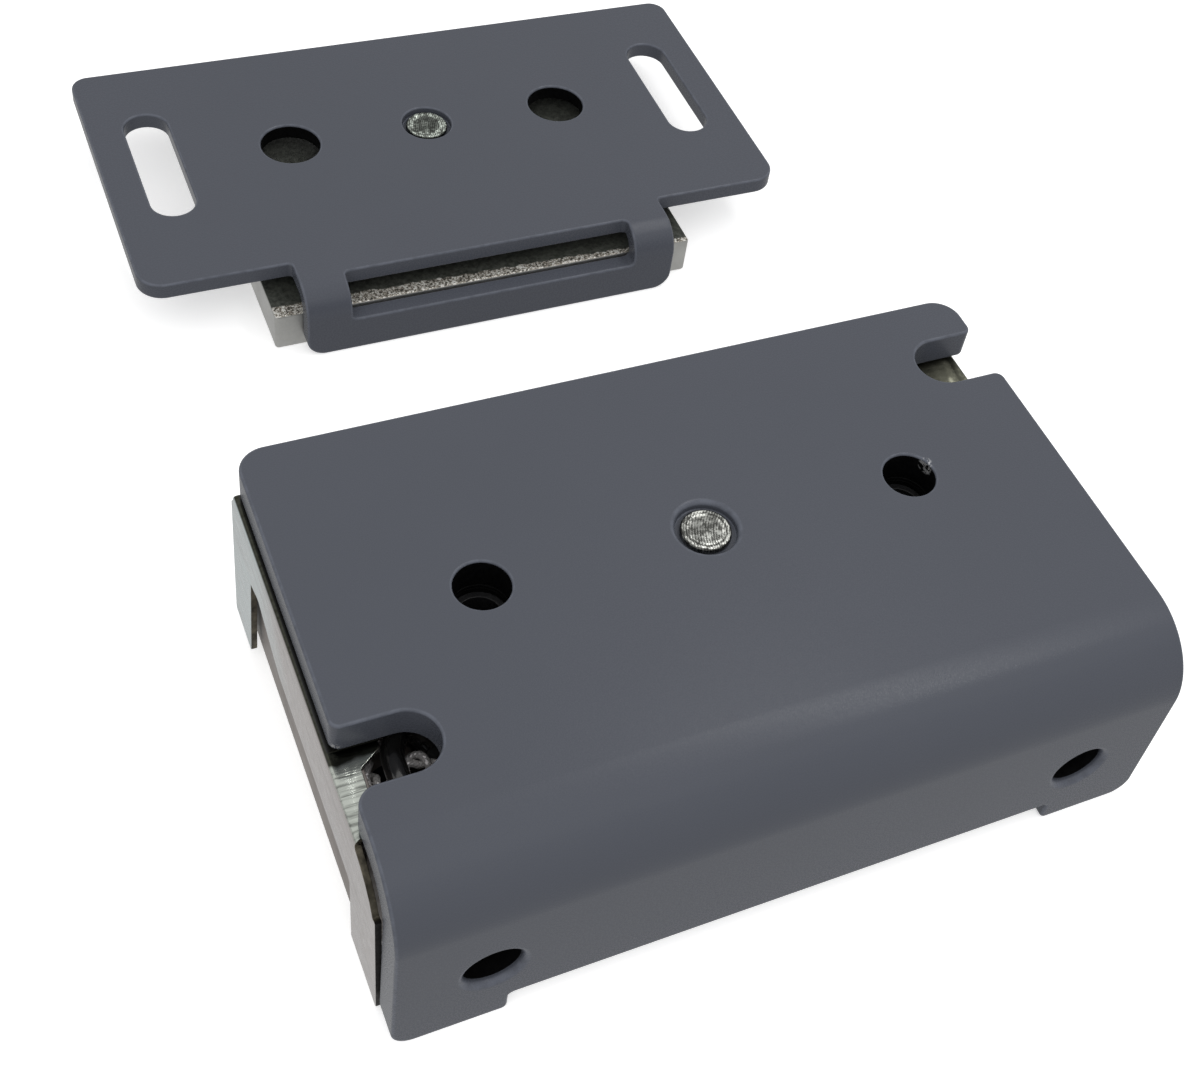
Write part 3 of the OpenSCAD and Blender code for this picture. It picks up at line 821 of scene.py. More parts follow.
def seat_edge(thickness: float, radius: float, step_in: float, floor: float) -> Edge:
    """Profile of a stepped hole: rounded mouth, wall, flat seat and a narrower bore, its other corners rounded small.

    Args:
        thickness: the sheet's thickness.
        radius: the rounding of the mouth.
        step_in: how much narrower the bore is, on the radius.
        floor: depth of the seat.

    Returns:
        Insets, depths and normal turns in degrees.
    """
    a, s, c = quarter(4)
    small = 0.25
    inset = np.r_[radius * (1 - s), -small * (1 - c), -step_in + small * (1 - s), -step_in + small * (1 - s[::-1])]
    depth = np.r_[radius * (1 - c), floor - small * (1 - s), floor + small * (1 - c), thickness - small * (1 - c[::-1])]
    turn = np.r_[a, a[::-1], a, 180.0 - a[::-1]]
    return inset, depth, turn


@dataclass
class Fold:
    """The run of a folded sheet's outer face in a plane: straight and curved lengths in order.

    Each length is (distance, 0) for a straight or (radius, degrees) for a curve to the right of travel. The face's
    own normal is to the left of travel.
    """

    start: tuple[float, float]
    heading: float
    runs: Sequence[tuple[float, float]]
    fine: float = 4.0

    def lengths(self) -> np.ndarray:
        """Returns where each run begins, and the end, as distances along the face."""
        each = [a if turn == 0 else a * math.radians(turn) for a, turn in self.runs]
        return np.r_[0.0, np.cumsum(each)]

    def stations(self) -> list[float]:
        """Returns the distances at which curves are cut across."""
        marks = self.lengths()
        found: list[float] = []
        for i, (_, turn) in enumerate(self.runs):
            if turn:
                found += np.linspace(marks[i], marks[i + 1], int(math.ceil(turn / self.fine)) + 1).tolist()
        return found

    def place(self, s: np.ndarray) -> tuple[np.ndarray, np.ndarray, np.ndarray]:
        """Finds the face at distances along it.

        On a straight the point moves along the heading; on a curve it turns about a centre to the right of travel at
        the curve's radius, so the normal turns with it.

        Args:
            s: distances.

        Returns:
            Points, headings and outward normals, two numbers each.
        """
        marks = self.lengths()
        point, heading = np.array(self.start, float), math.radians(self.heading)
        p, t, n = (np.zeros((len(s), 2)) for _ in range(3))
        for i, (size, turn) in enumerate(self.runs):
            last = i == len(self.runs) - 1
            here = (s >= marks[i] - 1e-6 if i else s > -1e9) & ((s < marks[i + 1] - 1e-6) | last)
            d = s[here] - marks[i]
            ahead = np.array([math.cos(heading), math.sin(heading)])
            side = np.array([-ahead[1], ahead[0]])
            if turn == 0:
                p[here], t[here], n[here] = point + d[:, None] * ahead, ahead, side
                point = point + size * ahead
            else:
                centre = point - side * size
                a = heading - d / size
                t[here] = np.c_[np.cos(a), np.sin(a)]
                n[here] = np.c_[-np.sin(a), np.cos(a)]
                p[here] = centre + n[here] * size
                heading -= math.radians(turn)
                point = centre + size * np.array([-math.sin(heading), math.cos(heading)])
        return p, t, n


@dataclass
class Sheet:
    """A plate cut from sheet and folded.

    The plate is drawn flat: `along` is the distance over the fold's outer face and `across` the other way. Every cut
    edge is a profile carried round its outline; the two faces are filled between the outlines' first and last rings.
    A flat point with a depth goes to the fold's point at that distance, less the depth times its outward normal.
    """

    fold: Fold
    loops: list[Loop]
    along_axis: Point
    up_axis: Point
    across_axis: Point
    after: Callable[[np.ndarray], np.ndarray] | None = None

    def carry(self, flat: np.ndarray, depth: np.ndarray, lean: np.ndarray) -> tuple[np.ndarray, np.ndarray]:
        """Carries flat points and normals into space.

        Args:
            flat: across and along for each point.
            depth: distance below the outer face.
            lean: normals as across, along and up.

        Returns:
            Points and normals in space.
        """
        p, t, n = self.fold.place(flat[:, 1])
        q = p - n * depth[:, None]
        a, u, c = (np.array(v, float) for v in (self.along_axis, self.up_axis, self.across_axis))
        points = q[:, :1] * a + q[:, 1:] * u + flat[:, :1] * c
        tangent = t[:, :1] * a + t[:, 1:] * u
        normal = n[:, :1] * a + n[:, 1:] * u
        turned = lean[:, :1] * c + lean[:, 1:2] * tangent + lean[:, 2:] * normal
        if self.after is not None:
            points = self.after(points)
        return points, turned

    def shape(self) -> Shape:
        """Returns the closed surface of the plate."""
        rings: list[np.ndarray] = []
        flat: list[np.ndarray] = []
        depth: list[np.ndarray] = []
        lean: list[np.ndarray] = []
        total = 0
        quads: list[tuple[np.ndarray, int]] = []
        for loop in self.loops:
            count, steps = len(loop.points), len(loop.inset)
            ring = total + np.arange(count * steps).reshape(steps, count)
            rings.append(ring)
            total += count * steps
            flat.append((loop.points[None] - loop.normals[None] * loop.inset[:, None, None]).reshape(-1, 2))
            depth.append(np.repeat(loop.depth, count))
            side, up = np.sin(np.radians(loop.turn)), np.cos(np.radians(loop.turn))
            lean.append(np.concatenate([side[:, None, None] * loop.normals[None],
                                        np.broadcast_to(up[:, None, None], (steps, count, 1))], 2).reshape(-1, 3))
            for k in range(steps - 1):
                lined = int(loop.wall) if k >= loop.lined_from else 0
                quads.append((strip(ring[k], ring[k + 1]), lined))
        flats, depths, leans = np.concatenate(flat), np.concatenate(depth), np.concatenate(lean)
        caps = [self._fill([ring[row] for ring in rings], flats) for row in (0, -1)]
        bend = np.abs(2 * leans[:, 2] * np.hypot(leans[:, 0], leans[:, 1]))
        made = Shape(*self.carry(flats, depths, leans), rim=np.clip(1.4 * bend, 0, 1))
        for rows, mark in quads:
            made.add(rows, mark)
        for cap in caps:
            made.add(cap)
        return made

    def _fill(self, rings: list[np.ndarray], flat: np.ndarray) -> np.ndarray:
        """Fills a face between its outlines with triangles that keep to the fold's stations.

        Args:
            rings: the point numbers of each outline.
            flat: all flat points.

        Returns:
            Triangles of point numbers.
        """
        numbers = np.concatenate(rings)
        edges: list[tuple[int, int]] = []
        at = 0
        for ring in rings:
            k = np.arange(len(ring)) + at
            edges += list(zip(k.tolist(), np.roll(k, -1).tolist()))
            at += len(ring)
        places = flat[numbers]
        for s in self.fold.stations():
            on = np.nonzero(np.abs(places[:, 1] - s) < 0.1)[0]
            row = on[np.argsort(places[on, 0])]
            for i, j in zip(row[:-1], row[1:]):
                middle = (places[i] + places[j]) / 2
                if self._inside(middle[None], [flat[r] for r in rings])[0]:
                    edges.append((int(i), int(j)))
        verts, _, tris, origin, _, _ = delaunay_2d_cdt([Vector(p) for p in places], edges, [], 0, 1e-5)
        source = np.array([o[0] if o else -1 for o in origin])
        faces = np.array([t for t in tris if len(t) == 3], int)
        at_place = np.array([tuple(v) for v in verts])
        middle = at_place[faces].mean(axis=1)
        good = self._inside(middle, [flat[r] for r in rings]) & (source[faces] >= 0).all(axis=1)
        return numbers[source[faces[good]]]

    @staticmethod
    def _inside(spots: np.ndarray, outlines: list[np.ndarray]) -> np.ndarray:
        """Tells which spots lie in the material: an odd number of outline sides lie to their right.

        Args:
            spots: flat points.
            outlines: closed lines of flat points.

        Returns:
            True for each spot inside.
        """
        odd = np.zeros(len(spots), int)
        for line in outlines:
            a, b = line, np.roll(line, -1, axis=0)
            x, y = spots[:, :1], spots[:, 1:]
            spans = (a[:, 1] > y) != (b[:, 1] > y)
            rise = np.where(np.abs(b[:, 1] - a[:, 1]) < 1e-12, 1e-12, b[:, 1] - a[:, 1])
            odd += (spans & (x < (b[:, 0] - a[:, 0]) * (y - a[:, 1]) / rise + a[:, 0])).sum(axis=1)
        return odd % 2 == 1


def level_sheet(top: float, loops: list[Loop]) -> Sheet:
    """Lays a flat sheet level, drawn as x and y, with its outer face at a height."""
    return Sheet(Fold((0.0, top), 0.0, [(1e4, 0)]), loops, (0, 1, 0), (0, 0, 1), (1, 0, 0))


def box_corners(x0: float, x1: float, y0: float, y1: float, r: float) -> list[Corner]:
    """Returns the corners of a rectangle, anticlockwise, each with one radius."""
    return [(x1, y1, r), (x0, y1, r), (x0, y0, r), (x1, y0, r)]


def round_hole(x: float, y: float, radius: float) -> list[Corner]:
    """Returns a circle as a square whose corners meet."""
    return box_corners(x - radius, x + radius, y - radius, y + radius, radius)


def ringed(points: np.ndarray, normals: np.ndarray) -> Shape:
    """Covers a grid of closed rings with quads and closes its two ends with fans.

    Args:
        points: rings, points round each and three numbers each.
        normals: the same for the normals.

    Returns:
        The closed surface.
    """
    rings, steps = points.shape[:2]
    ring = np.arange(rings * steps).reshape(rings, steps)
    made = Shape(points.reshape(-1, 3), normals.reshape(-1, 3))
    for first, second in zip(ring[:-1], ring[1:]):
        made.add(strip(first, second))
    for row in (ring[0], ring[-1]):
        made.add(np.c_[np.repeat(row[0], steps - 2), row[1:-1], row[2:]])
    return made


def arc_length(line: np.ndarray) -> np.ndarray:
    """Returns the distance along a line at each of its points."""
    return np.r_[0.0, np.cumsum(np.linalg.norm(np.diff(line, axis=0), axis=1))]


def revolve(x: float, y: float, profile: Sequence[tuple[float, float]], steps: int = 96) -> Shape:
    """Turns a profile about an upright axis: each point goes round a circle of its radius at its height.

    Args:
        x: the axis.
        y: the axis.
        profile: radius and height, from the top centre outwards and down to the bottom centre.
        steps: points per turn.

    Returns:
        The closed surface.
    """
    rz = np.array(profile, float)
    rz[:, 0] = np.maximum(rz[:, 0], 0.004)
    a = np.linspace(0.0, 2 * math.pi, steps, endpoint=False)
    points = np.stack([x + rz[:, :1] * np.cos(a), y + rz[:, :1] * np.sin(a),
                       np.broadcast_to(rz[:, 1:], (len(rz), steps))], 2)
    slope = np.gradient(rz, axis=0)
    out = np.c_[-slope[:, 1], slope[:, 0]]
    out /= np.linalg.norm(out, axis=1)[:, None] + 1e-12
    normals = np.stack([out[:, :1] * np.cos(a), out[:, :1] * np.sin(a),
                        np.broadcast_to(out[:, 1:], (len(rz), steps))], 2)
    return ringed(points, normals)


def softened(profile: Sequence[tuple[float, float]], radius: float, steps: int = 4) -> list[tuple[float, float]]:
    """Rounds the inner corners of an open profile with short quadratic curves.

    Args:
        profile: radius and height of each corner.
        radius: how far from a corner a curve begins, less where the sides are short.
        steps: steps per curve.

    Returns:
        The rounded profile.
    """
    p = np.array(profile, float)
    out = [tuple(p[0])]
    for i in range(1, len(p) - 1):
        a, b = p[i - 1] - p[i], p[i + 1] - p[i]
        la, lb = np.linalg.norm(a), np.linalg.norm(b)
        r = min(radius, la * 0.45, lb * 0.45)
        start, end = p[i] + a / la * r, p[i] + b / lb * r
        for t in np.linspace(0.0, 1.0, steps + 1):
            out.append(tuple((1 - t) ** 2 * start + 2 * t * (1 - t) * p[i] + t * t * end))
    out.append(tuple(p[-1]))
    return out


def spline(route: Sequence[Sequence[float]], per_gap: int) -> np.ndarray:
    """Draws a smooth curve through points, each gap a cubic whose ends lean along their neighbours.

    Args:
        route: the points.
        per_gap: steps between one and the next.

    Returns:
        The curve's points.
    """
    p = np.array(route, float)
    i = np.arange(len(p) - 1)
    a, b, c, d = p[np.maximum(i - 1, 0)], p[i], p[i + 1], p[np.minimum(i + 2, len(p) - 1)]
    t = (np.arange(per_gap) / per_gap)[None, :, None]
    a, b, c, d = (v[:, None, :] for v in (a, b, c, d))
    body = 0.5 * (2 * b + (c - a) * t + (2 * a - 5 * b + 4 * c - d) * t**2 + (3 * b - a - 3 * c + d) * t**3)
    return np.concatenate([body.reshape(-1, 3), p[-1:]])


def frames(line: np.ndarray) -> tuple[np.ndarray, np.ndarray, np.ndarray]:
    """Carries two side vectors along a curve with as little twist as can be.

    Args:
        line: the curve.

    Returns:
        Its tangents and the two side vectors.
    """
    t = np.gradient(line, axis=0)
    t /= np.linalg.norm(t, axis=1)[:, None]
    n = np.zeros_like(t)
    last = np.array([0.2, 1.0, 0.1])
    for i, ahead in enumerate(t):
        last = last - ahead * (last @ ahead)
        last /= np.linalg.norm(last)
        n[i] = last
    return t, n, np.cross(t, n)


def tube(line: np.ndarray, radius: float | np.ndarray, sides: int = 24, lobes: int = 0, lay: float = 4.0) -> Shape:
    """Carries a circle along a curve: centre plus radius times the cosine and sine of the two side vectors.

    With lobes the radius falls by a sixth between them, as the cosine of the angle times their number, and they turn
    once in each lay. The normals are then the cross product of the surface's two directions.

    Args:
        line: the middle line.
        radius: one radius or one per point.
        sides: points round the circle.
        lobes: how many strands show round it.
        lay: the length in which they turn once.

    Returns:
        The closed surface.
    """
    _, n, b = frames(line)
    a = np.linspace(0, 2 * math.pi, sides, endpoint=False)
    r = np.broadcast_to(radius, (len(line),))[:, None, None]
    out = np.cos(a)[None, :, None] * n[:, None] + np.sin(a)[None, :, None] * b[:, None]
    if lobes:
        turned = a[None, :] + 2 * math.pi * arc_length(line)[:, None] / lay
        r = r * (1.0 - 0.085 * (1.0 - np.cos(lobes * turned)))[:, :, None]
    grid = line[:, None] + r * out
    if lobes:
        round_way = np.roll(grid, -1, axis=1) - np.roll(grid, 1, axis=1)
        out = np.cross(round_way, np.gradient(grid, axis=0))
        out /= np.linalg.norm(out, axis=2, keepdims=True)
    return ringed(grid, out)


def finish_piece(piece: bpy.types.Object, body: Body, slot: str, *nodes: str) -> bpy.types.Object:
    """Hides the CAD nodes a piece stands for, attaches it to the body it rides on and logs what it stands for.

    Args:
        piece: the object.
        body: the body that carries it.
        slot: the record's material slot; not used.
        nodes: the CAD nodes it replaces.

    Returns:
        The object.
    """
    if nodes:
        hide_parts(*nodes)
    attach(piece, body.value)
    log.info("%s rides on %s, %d faces, stands for %s", piece.name, body.value, len(piece.data.polygons), nodes)
    return piece


def dress(nodes: Iterable[str], material: Material) -> None:
    """Gives CAD nodes whose shape stays a finish.

    Args:
        nodes: their names.
        material: the finish.
    """
    for name in nodes:
        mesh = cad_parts[name].data
        mesh.materials.clear()
        mesh.materials.append(material)
        log.info("%s dressed in %s", name, material.name)


def eased_copy(node: str, material: Material, width: float, body: Body, slot: str) -> bpy.types.Object:
    """Copies a CAD node, merges its triangles and eases its arrises with a small bevel.

    Args:
        node: the CAD node.
        material: the finish.
        width: the bevel in millimetres.
        body: the body that carries it.
        slot: the record's material slot.

    Returns:
        The copy.
    """
    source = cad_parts[node]
    mesh = source.data.copy()
    work = bmesh.new()
    work.from_mesh(mesh)
    bmesh.ops.remove_doubles(work, verts=work.verts, dist=2e-6)
    bmesh.ops.dissolve_limit(work, angle_limit=math.radians(0.6), verts=work.verts, edges=work.edges)
    work.to_mesh(mesh)
    work.free()
    mesh.materials.clear()
    mesh.materials.append(material)
    mesh.polygons.foreach_set("use_smooth", np.ones(len(mesh.polygons), bool))
    copy = linked(node + "_eased", mesh)
    bevel = copy.modifiers.new("eased", "BEVEL")
    bevel.width = width * MM
    bevel.segments = 3
    bevel.limit_method = "ANGLE"
    bevel.angle_limit = math.radians(40)
    bevel.harden_normals = True
    bevel.use_clamp_overlap = True
    return finish_piece(copy, body, slot, node)


# Sub-assemblies


@dataclass
class BentPlate:
    """A painted plate bent down at its front; its flat sheet runs from the rear edge forwards and down the flange."""

    thickness: float
    half_length: float
    rear: float
    reach: float
    top: float
    bend: float
    centre_y: float = 0.0
    fine: float = 3.0

    def bend_at(self) -> float:
        """Returns where the bend begins on the flat sheet."""
        return self.rear + self.reach - self.bend

    def height_to_flat(self, z: float) -> float:
        """Returns where a height on the flange lies on the flat sheet."""
        return self.bend_at() + self.bend * math.pi / 2 + (self.top - self.bend - z)

    def fold(self) -> Fold:
        """Returns the run of the plate's outer face."""
        runs = [(self.bend_at(), 0), (self.bend, 90), (self.top - self.bend - FEET, 0)]
        return Fold((-self.centre_y - self.rear, self.top), 0.0, runs, self.fine)

    def hole(self, corners: Sequence[Corner], edge: Edge, wall: Wall = Wall.COATED, lined_from: int = 4) -> Loop:
        """Returns a hole with fine arcs."""
        return cut(corners, True, edge, 5.0, wall=wall, lined_from=lined_from)

    def finish(self, name: str, loops: list[Loop], finishes: Sequence[Material], body: Body,
               node: str) -> bpy.types.Object:
        """Folds the flat loops, writes the plate in the paint and the holes' lining and returns it."""
        plate = Sheet(self.fold(), loops, along_axis=(0, -1, 0), up_axis=(0, 0, 1), across_axis=(1, 0, 0))
        return finish_piece(plate.shape().write(name, finishes), body, "paint", node)


@dataclass
class CoverPlate(BentPlate):
    """Painted top and front flange, bent from one sheet.

    A notch is its middle and its width along y, and a flange hole its x and its height. The mouth of a flange hole is
    its rounding and how deep the paint reaches; the rivet's seat is its rounding, its step inwards and its depth.
    """

    thickness: float = 5.8
    half_length: float = 63.0
    rear: float = 34.8
    reach: float = 45.6
    top: float = 36.5
    bend: float = 12.6
    relief: float = 2.2
    relief_half: float = 46.0
    notch_depth: float = 13.5
    left_notch: tuple[float, float] = (-21.5, 9.7)
    right_notch: tuple[float, float] = (21.2, 9.8)
    flange_hole: tuple[float, float] = (48.8, 11.8)
    mouth: tuple[float, float] = (1.1, 1.3)
    rivet_radius: float = 4.9
    seat: tuple[float, float, float] = (0.85, 1.7, 1.6)
    left_out: float = 0.25
    arris: float = 0.5
    hole_arris: float = 0.4

    def outline(self) -> list[Corner]:
        """Draws the flat outline; the left side stands out a little further than the right one.

        Returns:
            Its corners.
        """
        w, inner, g = self.half_length, self.half_length - self.notch_depth, self.relief_half
        low, gap = self.height_to_flat(FEET), self.height_to_flat(self.relief)
        (left, left_wide), (right, right_wide) = self.left_notch, self.right_notch
        left_at, left_round = self.rear - left, left_wide / 2 - 0.02
        right_at, right_round = self.rear - right, right_wide / 2 - 0.02
        corners = [
            (-w, 0.0, 4.6), (w, 0.0, 4.6), (w, right_at - right_wide / 2, 1.5),
            (inner, right_at - right_wide / 2, right_round), (inner, right_at + right_wide / 2, right_round),
            (w, right_at + right_wide / 2, 1.6), (w, low, 3.5), (g, low, 1.0), (g, gap, 0.9), (-g, gap, 0.9),
            (-g, low, 1.0), (-w, low, 3.5), (-w, left_at + left_wide / 2, 3.2),
            (-inner, left_at + left_wide / 2, left_round), (-inner, left_at - left_wide / 2, left_round),
            (-w, left_at - left_wide / 2, 1.6)]
        return [(x - self.left_out if x == -w else x, y, rounding) for x, y, rounding in corners]

    def build(self, coat: Material, lining: Material) -> bpy.types.Object:
        """Builds the plate with its drilled holes and the rivet's seat.

        Args:
            coat: the paint.
            lining: the holes' lining.

        Returns:
            The object.
        """
        loops = [cut(self.outline(), False, soft_edge(self.thickness, self.arris), 7.5, self.fold().stations())]
        drilled = soft_edge(self.thickness, self.hole_arris)
        # The holes' walls past the mouth take the black lining, partly painted shade.
        for x in (-ACCESS_X, ACCESS_X):
            loops.append(self.hole(round_hole(x, self.rear, BOLT_RADIUS), drilled, Wall.LINED))
        across, height = self.flange_hole
        mouth = mouth_edge(self.thickness, *self.mouth)
        for x in (-across, across):
            loops.append(self.hole(round_hole(x, self.height_to_flat(height), BOLT_RADIUS), mouth, Wall.LINED, 6))
        seat = seat_edge(self.thickness, *self.seat)
        loops.append(self.hole(round_hole(0.0, self.rear, self.rivet_radius), seat))
        return self.finish("painted_cover", loops, [coat, lining], Body.LOCK, "cover_plate")


@dataclass
class StrikePlate(BentPlate):
    """Painted strike plate with two slots, two round holes and a down-turned tab with a window."""

    thickness: float = 3.4
    half_length: float = 64.5
    rear: float = 29.4
    reach: float = 43.8
    top: float = 12.5
    bend: float = 6.0
    centre_y: float = STRIKE_Y
    fine: float = 5.0
    front: float = 33.3
    tab_half: float = 37.1
    window_half: float = 28.5
    window_low: float = 5.5
    slot_x: float = 53.5
    slot_half: tuple[float, float] = (4.2, 15.2)
    hole_x: float = 28.0
    hole_radius: float = 5.75
    rivet_radius: float = 4.95
    seat: tuple[float, float, float] = (0.4, 1.45, 1.6)
    arris: float = 0.45

    def build(self, coat: Material, lining: Material) -> bpy.types.Object:
        """Builds the plate with its slots, holes, rivet's seat and window.

        Args:
            coat: the paint.
            lining: the holes' lining.

        Returns:
            The object.
        """
        w, r, f, h = self.half_length, self.rear, self.rear + self.front, self.tab_half
        low = self.height_to_flat(FEET)
        outline = [(-w, 0.0, 3.4), (w, 0.0, 3.4), (w, f, 4.8), (h, f, 0.8), (h, low, 3.6), (-h, low, 3.6),
                   (-h, f, 0.8), (-w, f, 4.8)]
        splits, edge = self.fold().stations(), soft_edge(self.thickness, self.arris)
        loops = [cut(outline, False, edge, 7.5, splits)]
        wide, tall = self.slot_half
        for x in (-self.slot_x, self.slot_x):
            loops.append(self.hole(box_corners(x - wide, x + wide, r - tall, r + tall, wide - 0.01), edge))
        for x in (-self.hole_x, self.hole_x):
            loops.append(self.hole(round_hole(x, r, self.hole_radius), edge, Wall.LINED))
        loops.append(self.hole(round_hole(0.0, r, self.rivet_radius), seat_edge(self.thickness, *self.seat)))
        sill = self.height_to_flat(self.window_low)
        window = box_corners(-self.window_half, self.window_half, self.bend_at(), sill, 1.0)
        loops.append(cut(window, True, edge, 15.0, splits))
        return self.finish("painted_strike", loops, [coat, lining], Body.STRIKE, "strike_plate")


@dataclass
class MagnetTray:
    """Zinc-plated channel folded over the core, an end plate with a cut-out and a sprung-out leg at each end.

    The cut-out and the front edge of an end plate are corners given as y, height and rounding; the hole in the web
    over the cable pocket is given as y and x.
    """

    sheet: float = 1.0
    left: float = -63.5
    right: float = 61.5
    top: float = 30.0
    fold_radius: float = 0.7
    lean: float = 0.7
    rear: float = 33.0
    web_front: float = 29.4
    leg_at: float = 23.8
    leg_top: float = 18.0
    leg_flare: float = 3.0
    low: float = 0.6
    front_low: float = -1.9
    cut_out: tuple[Corner, ...] = (
        (19.2, 19.6, 1.5), (11.4, 15.6, 2.0), (8.4, 14.4, 1.0), (-27.4, 14.4, 1.0), (-27.4, -1.9, 0.5))
    front_edge: tuple[Corner, ...] = (
        (-39.3, -1.9, 0.5), (-39.3, 24.0, 0.3), (-38.3, 23.2, 0.3), (-37.0, 25.4, 0.8), (-35.2, 27.1, 0.8),
        (-33.0, 28.3, 0.8), (-30.8, 28.9, 0.4))
    pocket_hole: tuple[tuple[float, float], ...] = (
        (-12.0, -46.0), (-27.6, -46.0), (-27.6, -59.8), (-19.8, -59.6), (-17.4, -56.6), (-12.0, -56.2))
    rivet_radius: float = 3.05
    screw_radius: float = 4.02
    screw_x: float = 53.2
    screw_y: float = 22.0
    root: float = -58.0

    def _flat(self, z: float, end: int) -> float:
        """Finds a height on an end plate on the flat sheet, counted from the left plate's low edge.

        Args:
            z: the height.
            end: −1 for the left plate and 1 for the right one.

        Returns:
            The distance along the flat sheet.
        """
        drop = self.top - self.fold_radius - z
        curve = self.fold_radius * math.pi / 2
        start = self.top - self.fold_radius - self.front_low
        if end < 0:
            return start - drop
        return start + 2 * curve + (self.right - self.left - 2 * self.fold_radius) + drop

    def _over(self, x: float) -> float:
        """Returns where a place on the web lies on the flat sheet."""
        return self._flat(self.top - self.fold_radius, -1) + self.fold_radius * math.pi / 2 + (
            x - self.left - self.fold_radius)

    def _end_outline(self, end: int) -> list[Corner]:
        """Draws one end plate's part of the outline, from the rear of the web round to its front.

        Args:
            end: −1 for the left plate and 1 for the right one.

        Returns:
            Corners on the flat sheet.
        """
        leg = ((self.rear, self.low, 0.5), (self.leg_at, self.low, 0.5), (self.leg_at, self.leg_top, 0.16),
               (self.leg_at - 0.5, self.leg_top, 0.16))
        run = [(y, self._flat(z, end), r) for y, z, r in leg + self.cut_out + self.front_edge]
        return run + [(-self.web_front, self._over(self.left + 3.0 if end < 0 else self.right - 3.0), 0.6)]

    def build(self, zinc: Material, raw: Material, black: Material) -> bpy.types.Object:
        """Builds the tray.

        Args:
            zinc: the plating.
            raw: the sheared edges.
            black: the access holes' edges.

        Returns:
            The object.
        """
        side = self.top - self.fold_radius - self.front_low
        fold = Fold((self.left, self.front_low), 90.0,
                    [(side, 0), (self.fold_radius, 90), (self.right - self.left - 2 * self.fold_radius, 0),
                     (self.fold_radius, 90), (side, 0)], 10.0)
        left, right = self._end_outline(-1), self._end_outline(1)
        relief = [(self.rear, self._over(self.left + 3.4), 0.5), (self.rear - 1.2, self._over(self.left + 1.4), 0.8),
                  (self.rear - 1.2, self._flat(29.2, -1), 0.5), (self.rear, self._flat(27.6, -1), 0.6)]
        outline = left + right[::-1] + relief
        area = sum(a[0] * b[1] - a[1] * b[0] for a, b in zip(outline, outline[1:] + outline[:1]))
        if area < 0:
            outline = outline[::-1]
        edge = soft_edge(self.sheet, 0.1, 2)
        loops = [cut(outline, False, edge, 15.0, fold.stations(), Wall.LINED, 1)]
        # Painted shade: the web's zinc cut edges round the access holes are drawn in the black lining.
        for x in (-ACCESS_X, ACCESS_X):
            loops.append(cut(round_hole(0.0, self._over(x), BOLT_RADIUS), True, edge, 7.5, wall=Wall.BLACK))
        loops.append(cut(round_hole(0.0, self._over(0.0), self.rivet_radius), True, edge, 10.0))
        sunk = (np.array([0.0, 1.0]), np.array([0.0, self.sheet]), np.array([45.0, 45.0]))
        for way in (-1.0, 1.0):
            for y in (0.0, -way * self.screw_y):
                seat = round_hole(y, self._over(way * self.screw_x), self.screw_radius)
                loops.append(cut(seat, True, sunk, 10.0))
        loops.append(cut([(y, self._over(x), 0.7) for y, x in self.pocket_hole], True, edge, 15.0))
        plate = Sheet(fold, loops, (1, 0, 0), (0, 0, 1), (0, 1, 0), after=self._spring_legs)
        tray = plate.shape().write("zinc_tray", [zinc, raw, black])
        return finish_piece(tray, Body.LOCK, "zinc_sheet", "magnet_tray")

    def _spring_legs(self, points: np.ndarray) -> np.ndarray:
        """Leans the left end outwards at its top and the rear legs outwards at their feet.

        Left of the root the left end moves by the lean times its share of the height; below the top of a leg the leg
        leans out by the flare.

        Args:
            points: the tray's points.

        Returns:
            The moved points.
        """
        out = points.copy()
        end = np.clip((self.root - points[:, 0]) / 3.0, 0.0, 1.0)
        out[:, 0] -= self.lean * end * np.clip(points[:, 2] / self.top, 0.0, 1.0)
        leg = (points[:, 1] > self.leg_at - 0.3) & (points[:, 2] < self.leg_top)
        way = np.where(points[:, 0] < 0, -1.0, 1.0)
        out[:, 0] += np.where(leg, way * np.tan(math.radians(self.leg_flare)) * (self.leg_top - points[:, 2]), 0.0)
        return out


@dataclass
class RivetHead:
    """Head of a set rivet: a raised ring round a shallow crown, its shank going down through the work."""

    name: str
    x: float
    y: float
    seat: float
    diameter: float
    foot: float
    shank: float = 6.0
    sink: tuple[float, float] | None = None

    def build(self, steel: Material, body: Body, slot: str, node: str) -> bpy.types.Object:
        """Builds the rivet.

        Args:
            steel: its finish.
            body: the body that carries it.
            slot: the record's slot.
            node: the CAD node it replaces.

        Returns:
            The object.
        """
        r, z = self.diameter / 2, self.seat
        top = [(0.0, z + 1.15), (r * 0.35, z + 1.12), (r - 1.35, z + 0.98), (r - 1.05, z + 0.93), (r - 0.85, z + 1.1),
               (r - 0.35, z + 1.1), (r, z + 0.85), (r, z), (self.shank / 2, z)]
        if self.sink is None:
            tail = [(self.shank / 2, self.foot), (0.0, self.foot)]
        else:
            wide, high = self.sink
            tail = [(self.shank / 2, self.foot + high), (wide / 2, self.foot), (0.0, self.foot)]
        shape = revolve(self.x, self.y, softened(top + tail, 0.22))
        return finish_piece(shape.write(self.name, [steel]), body, slot, node)


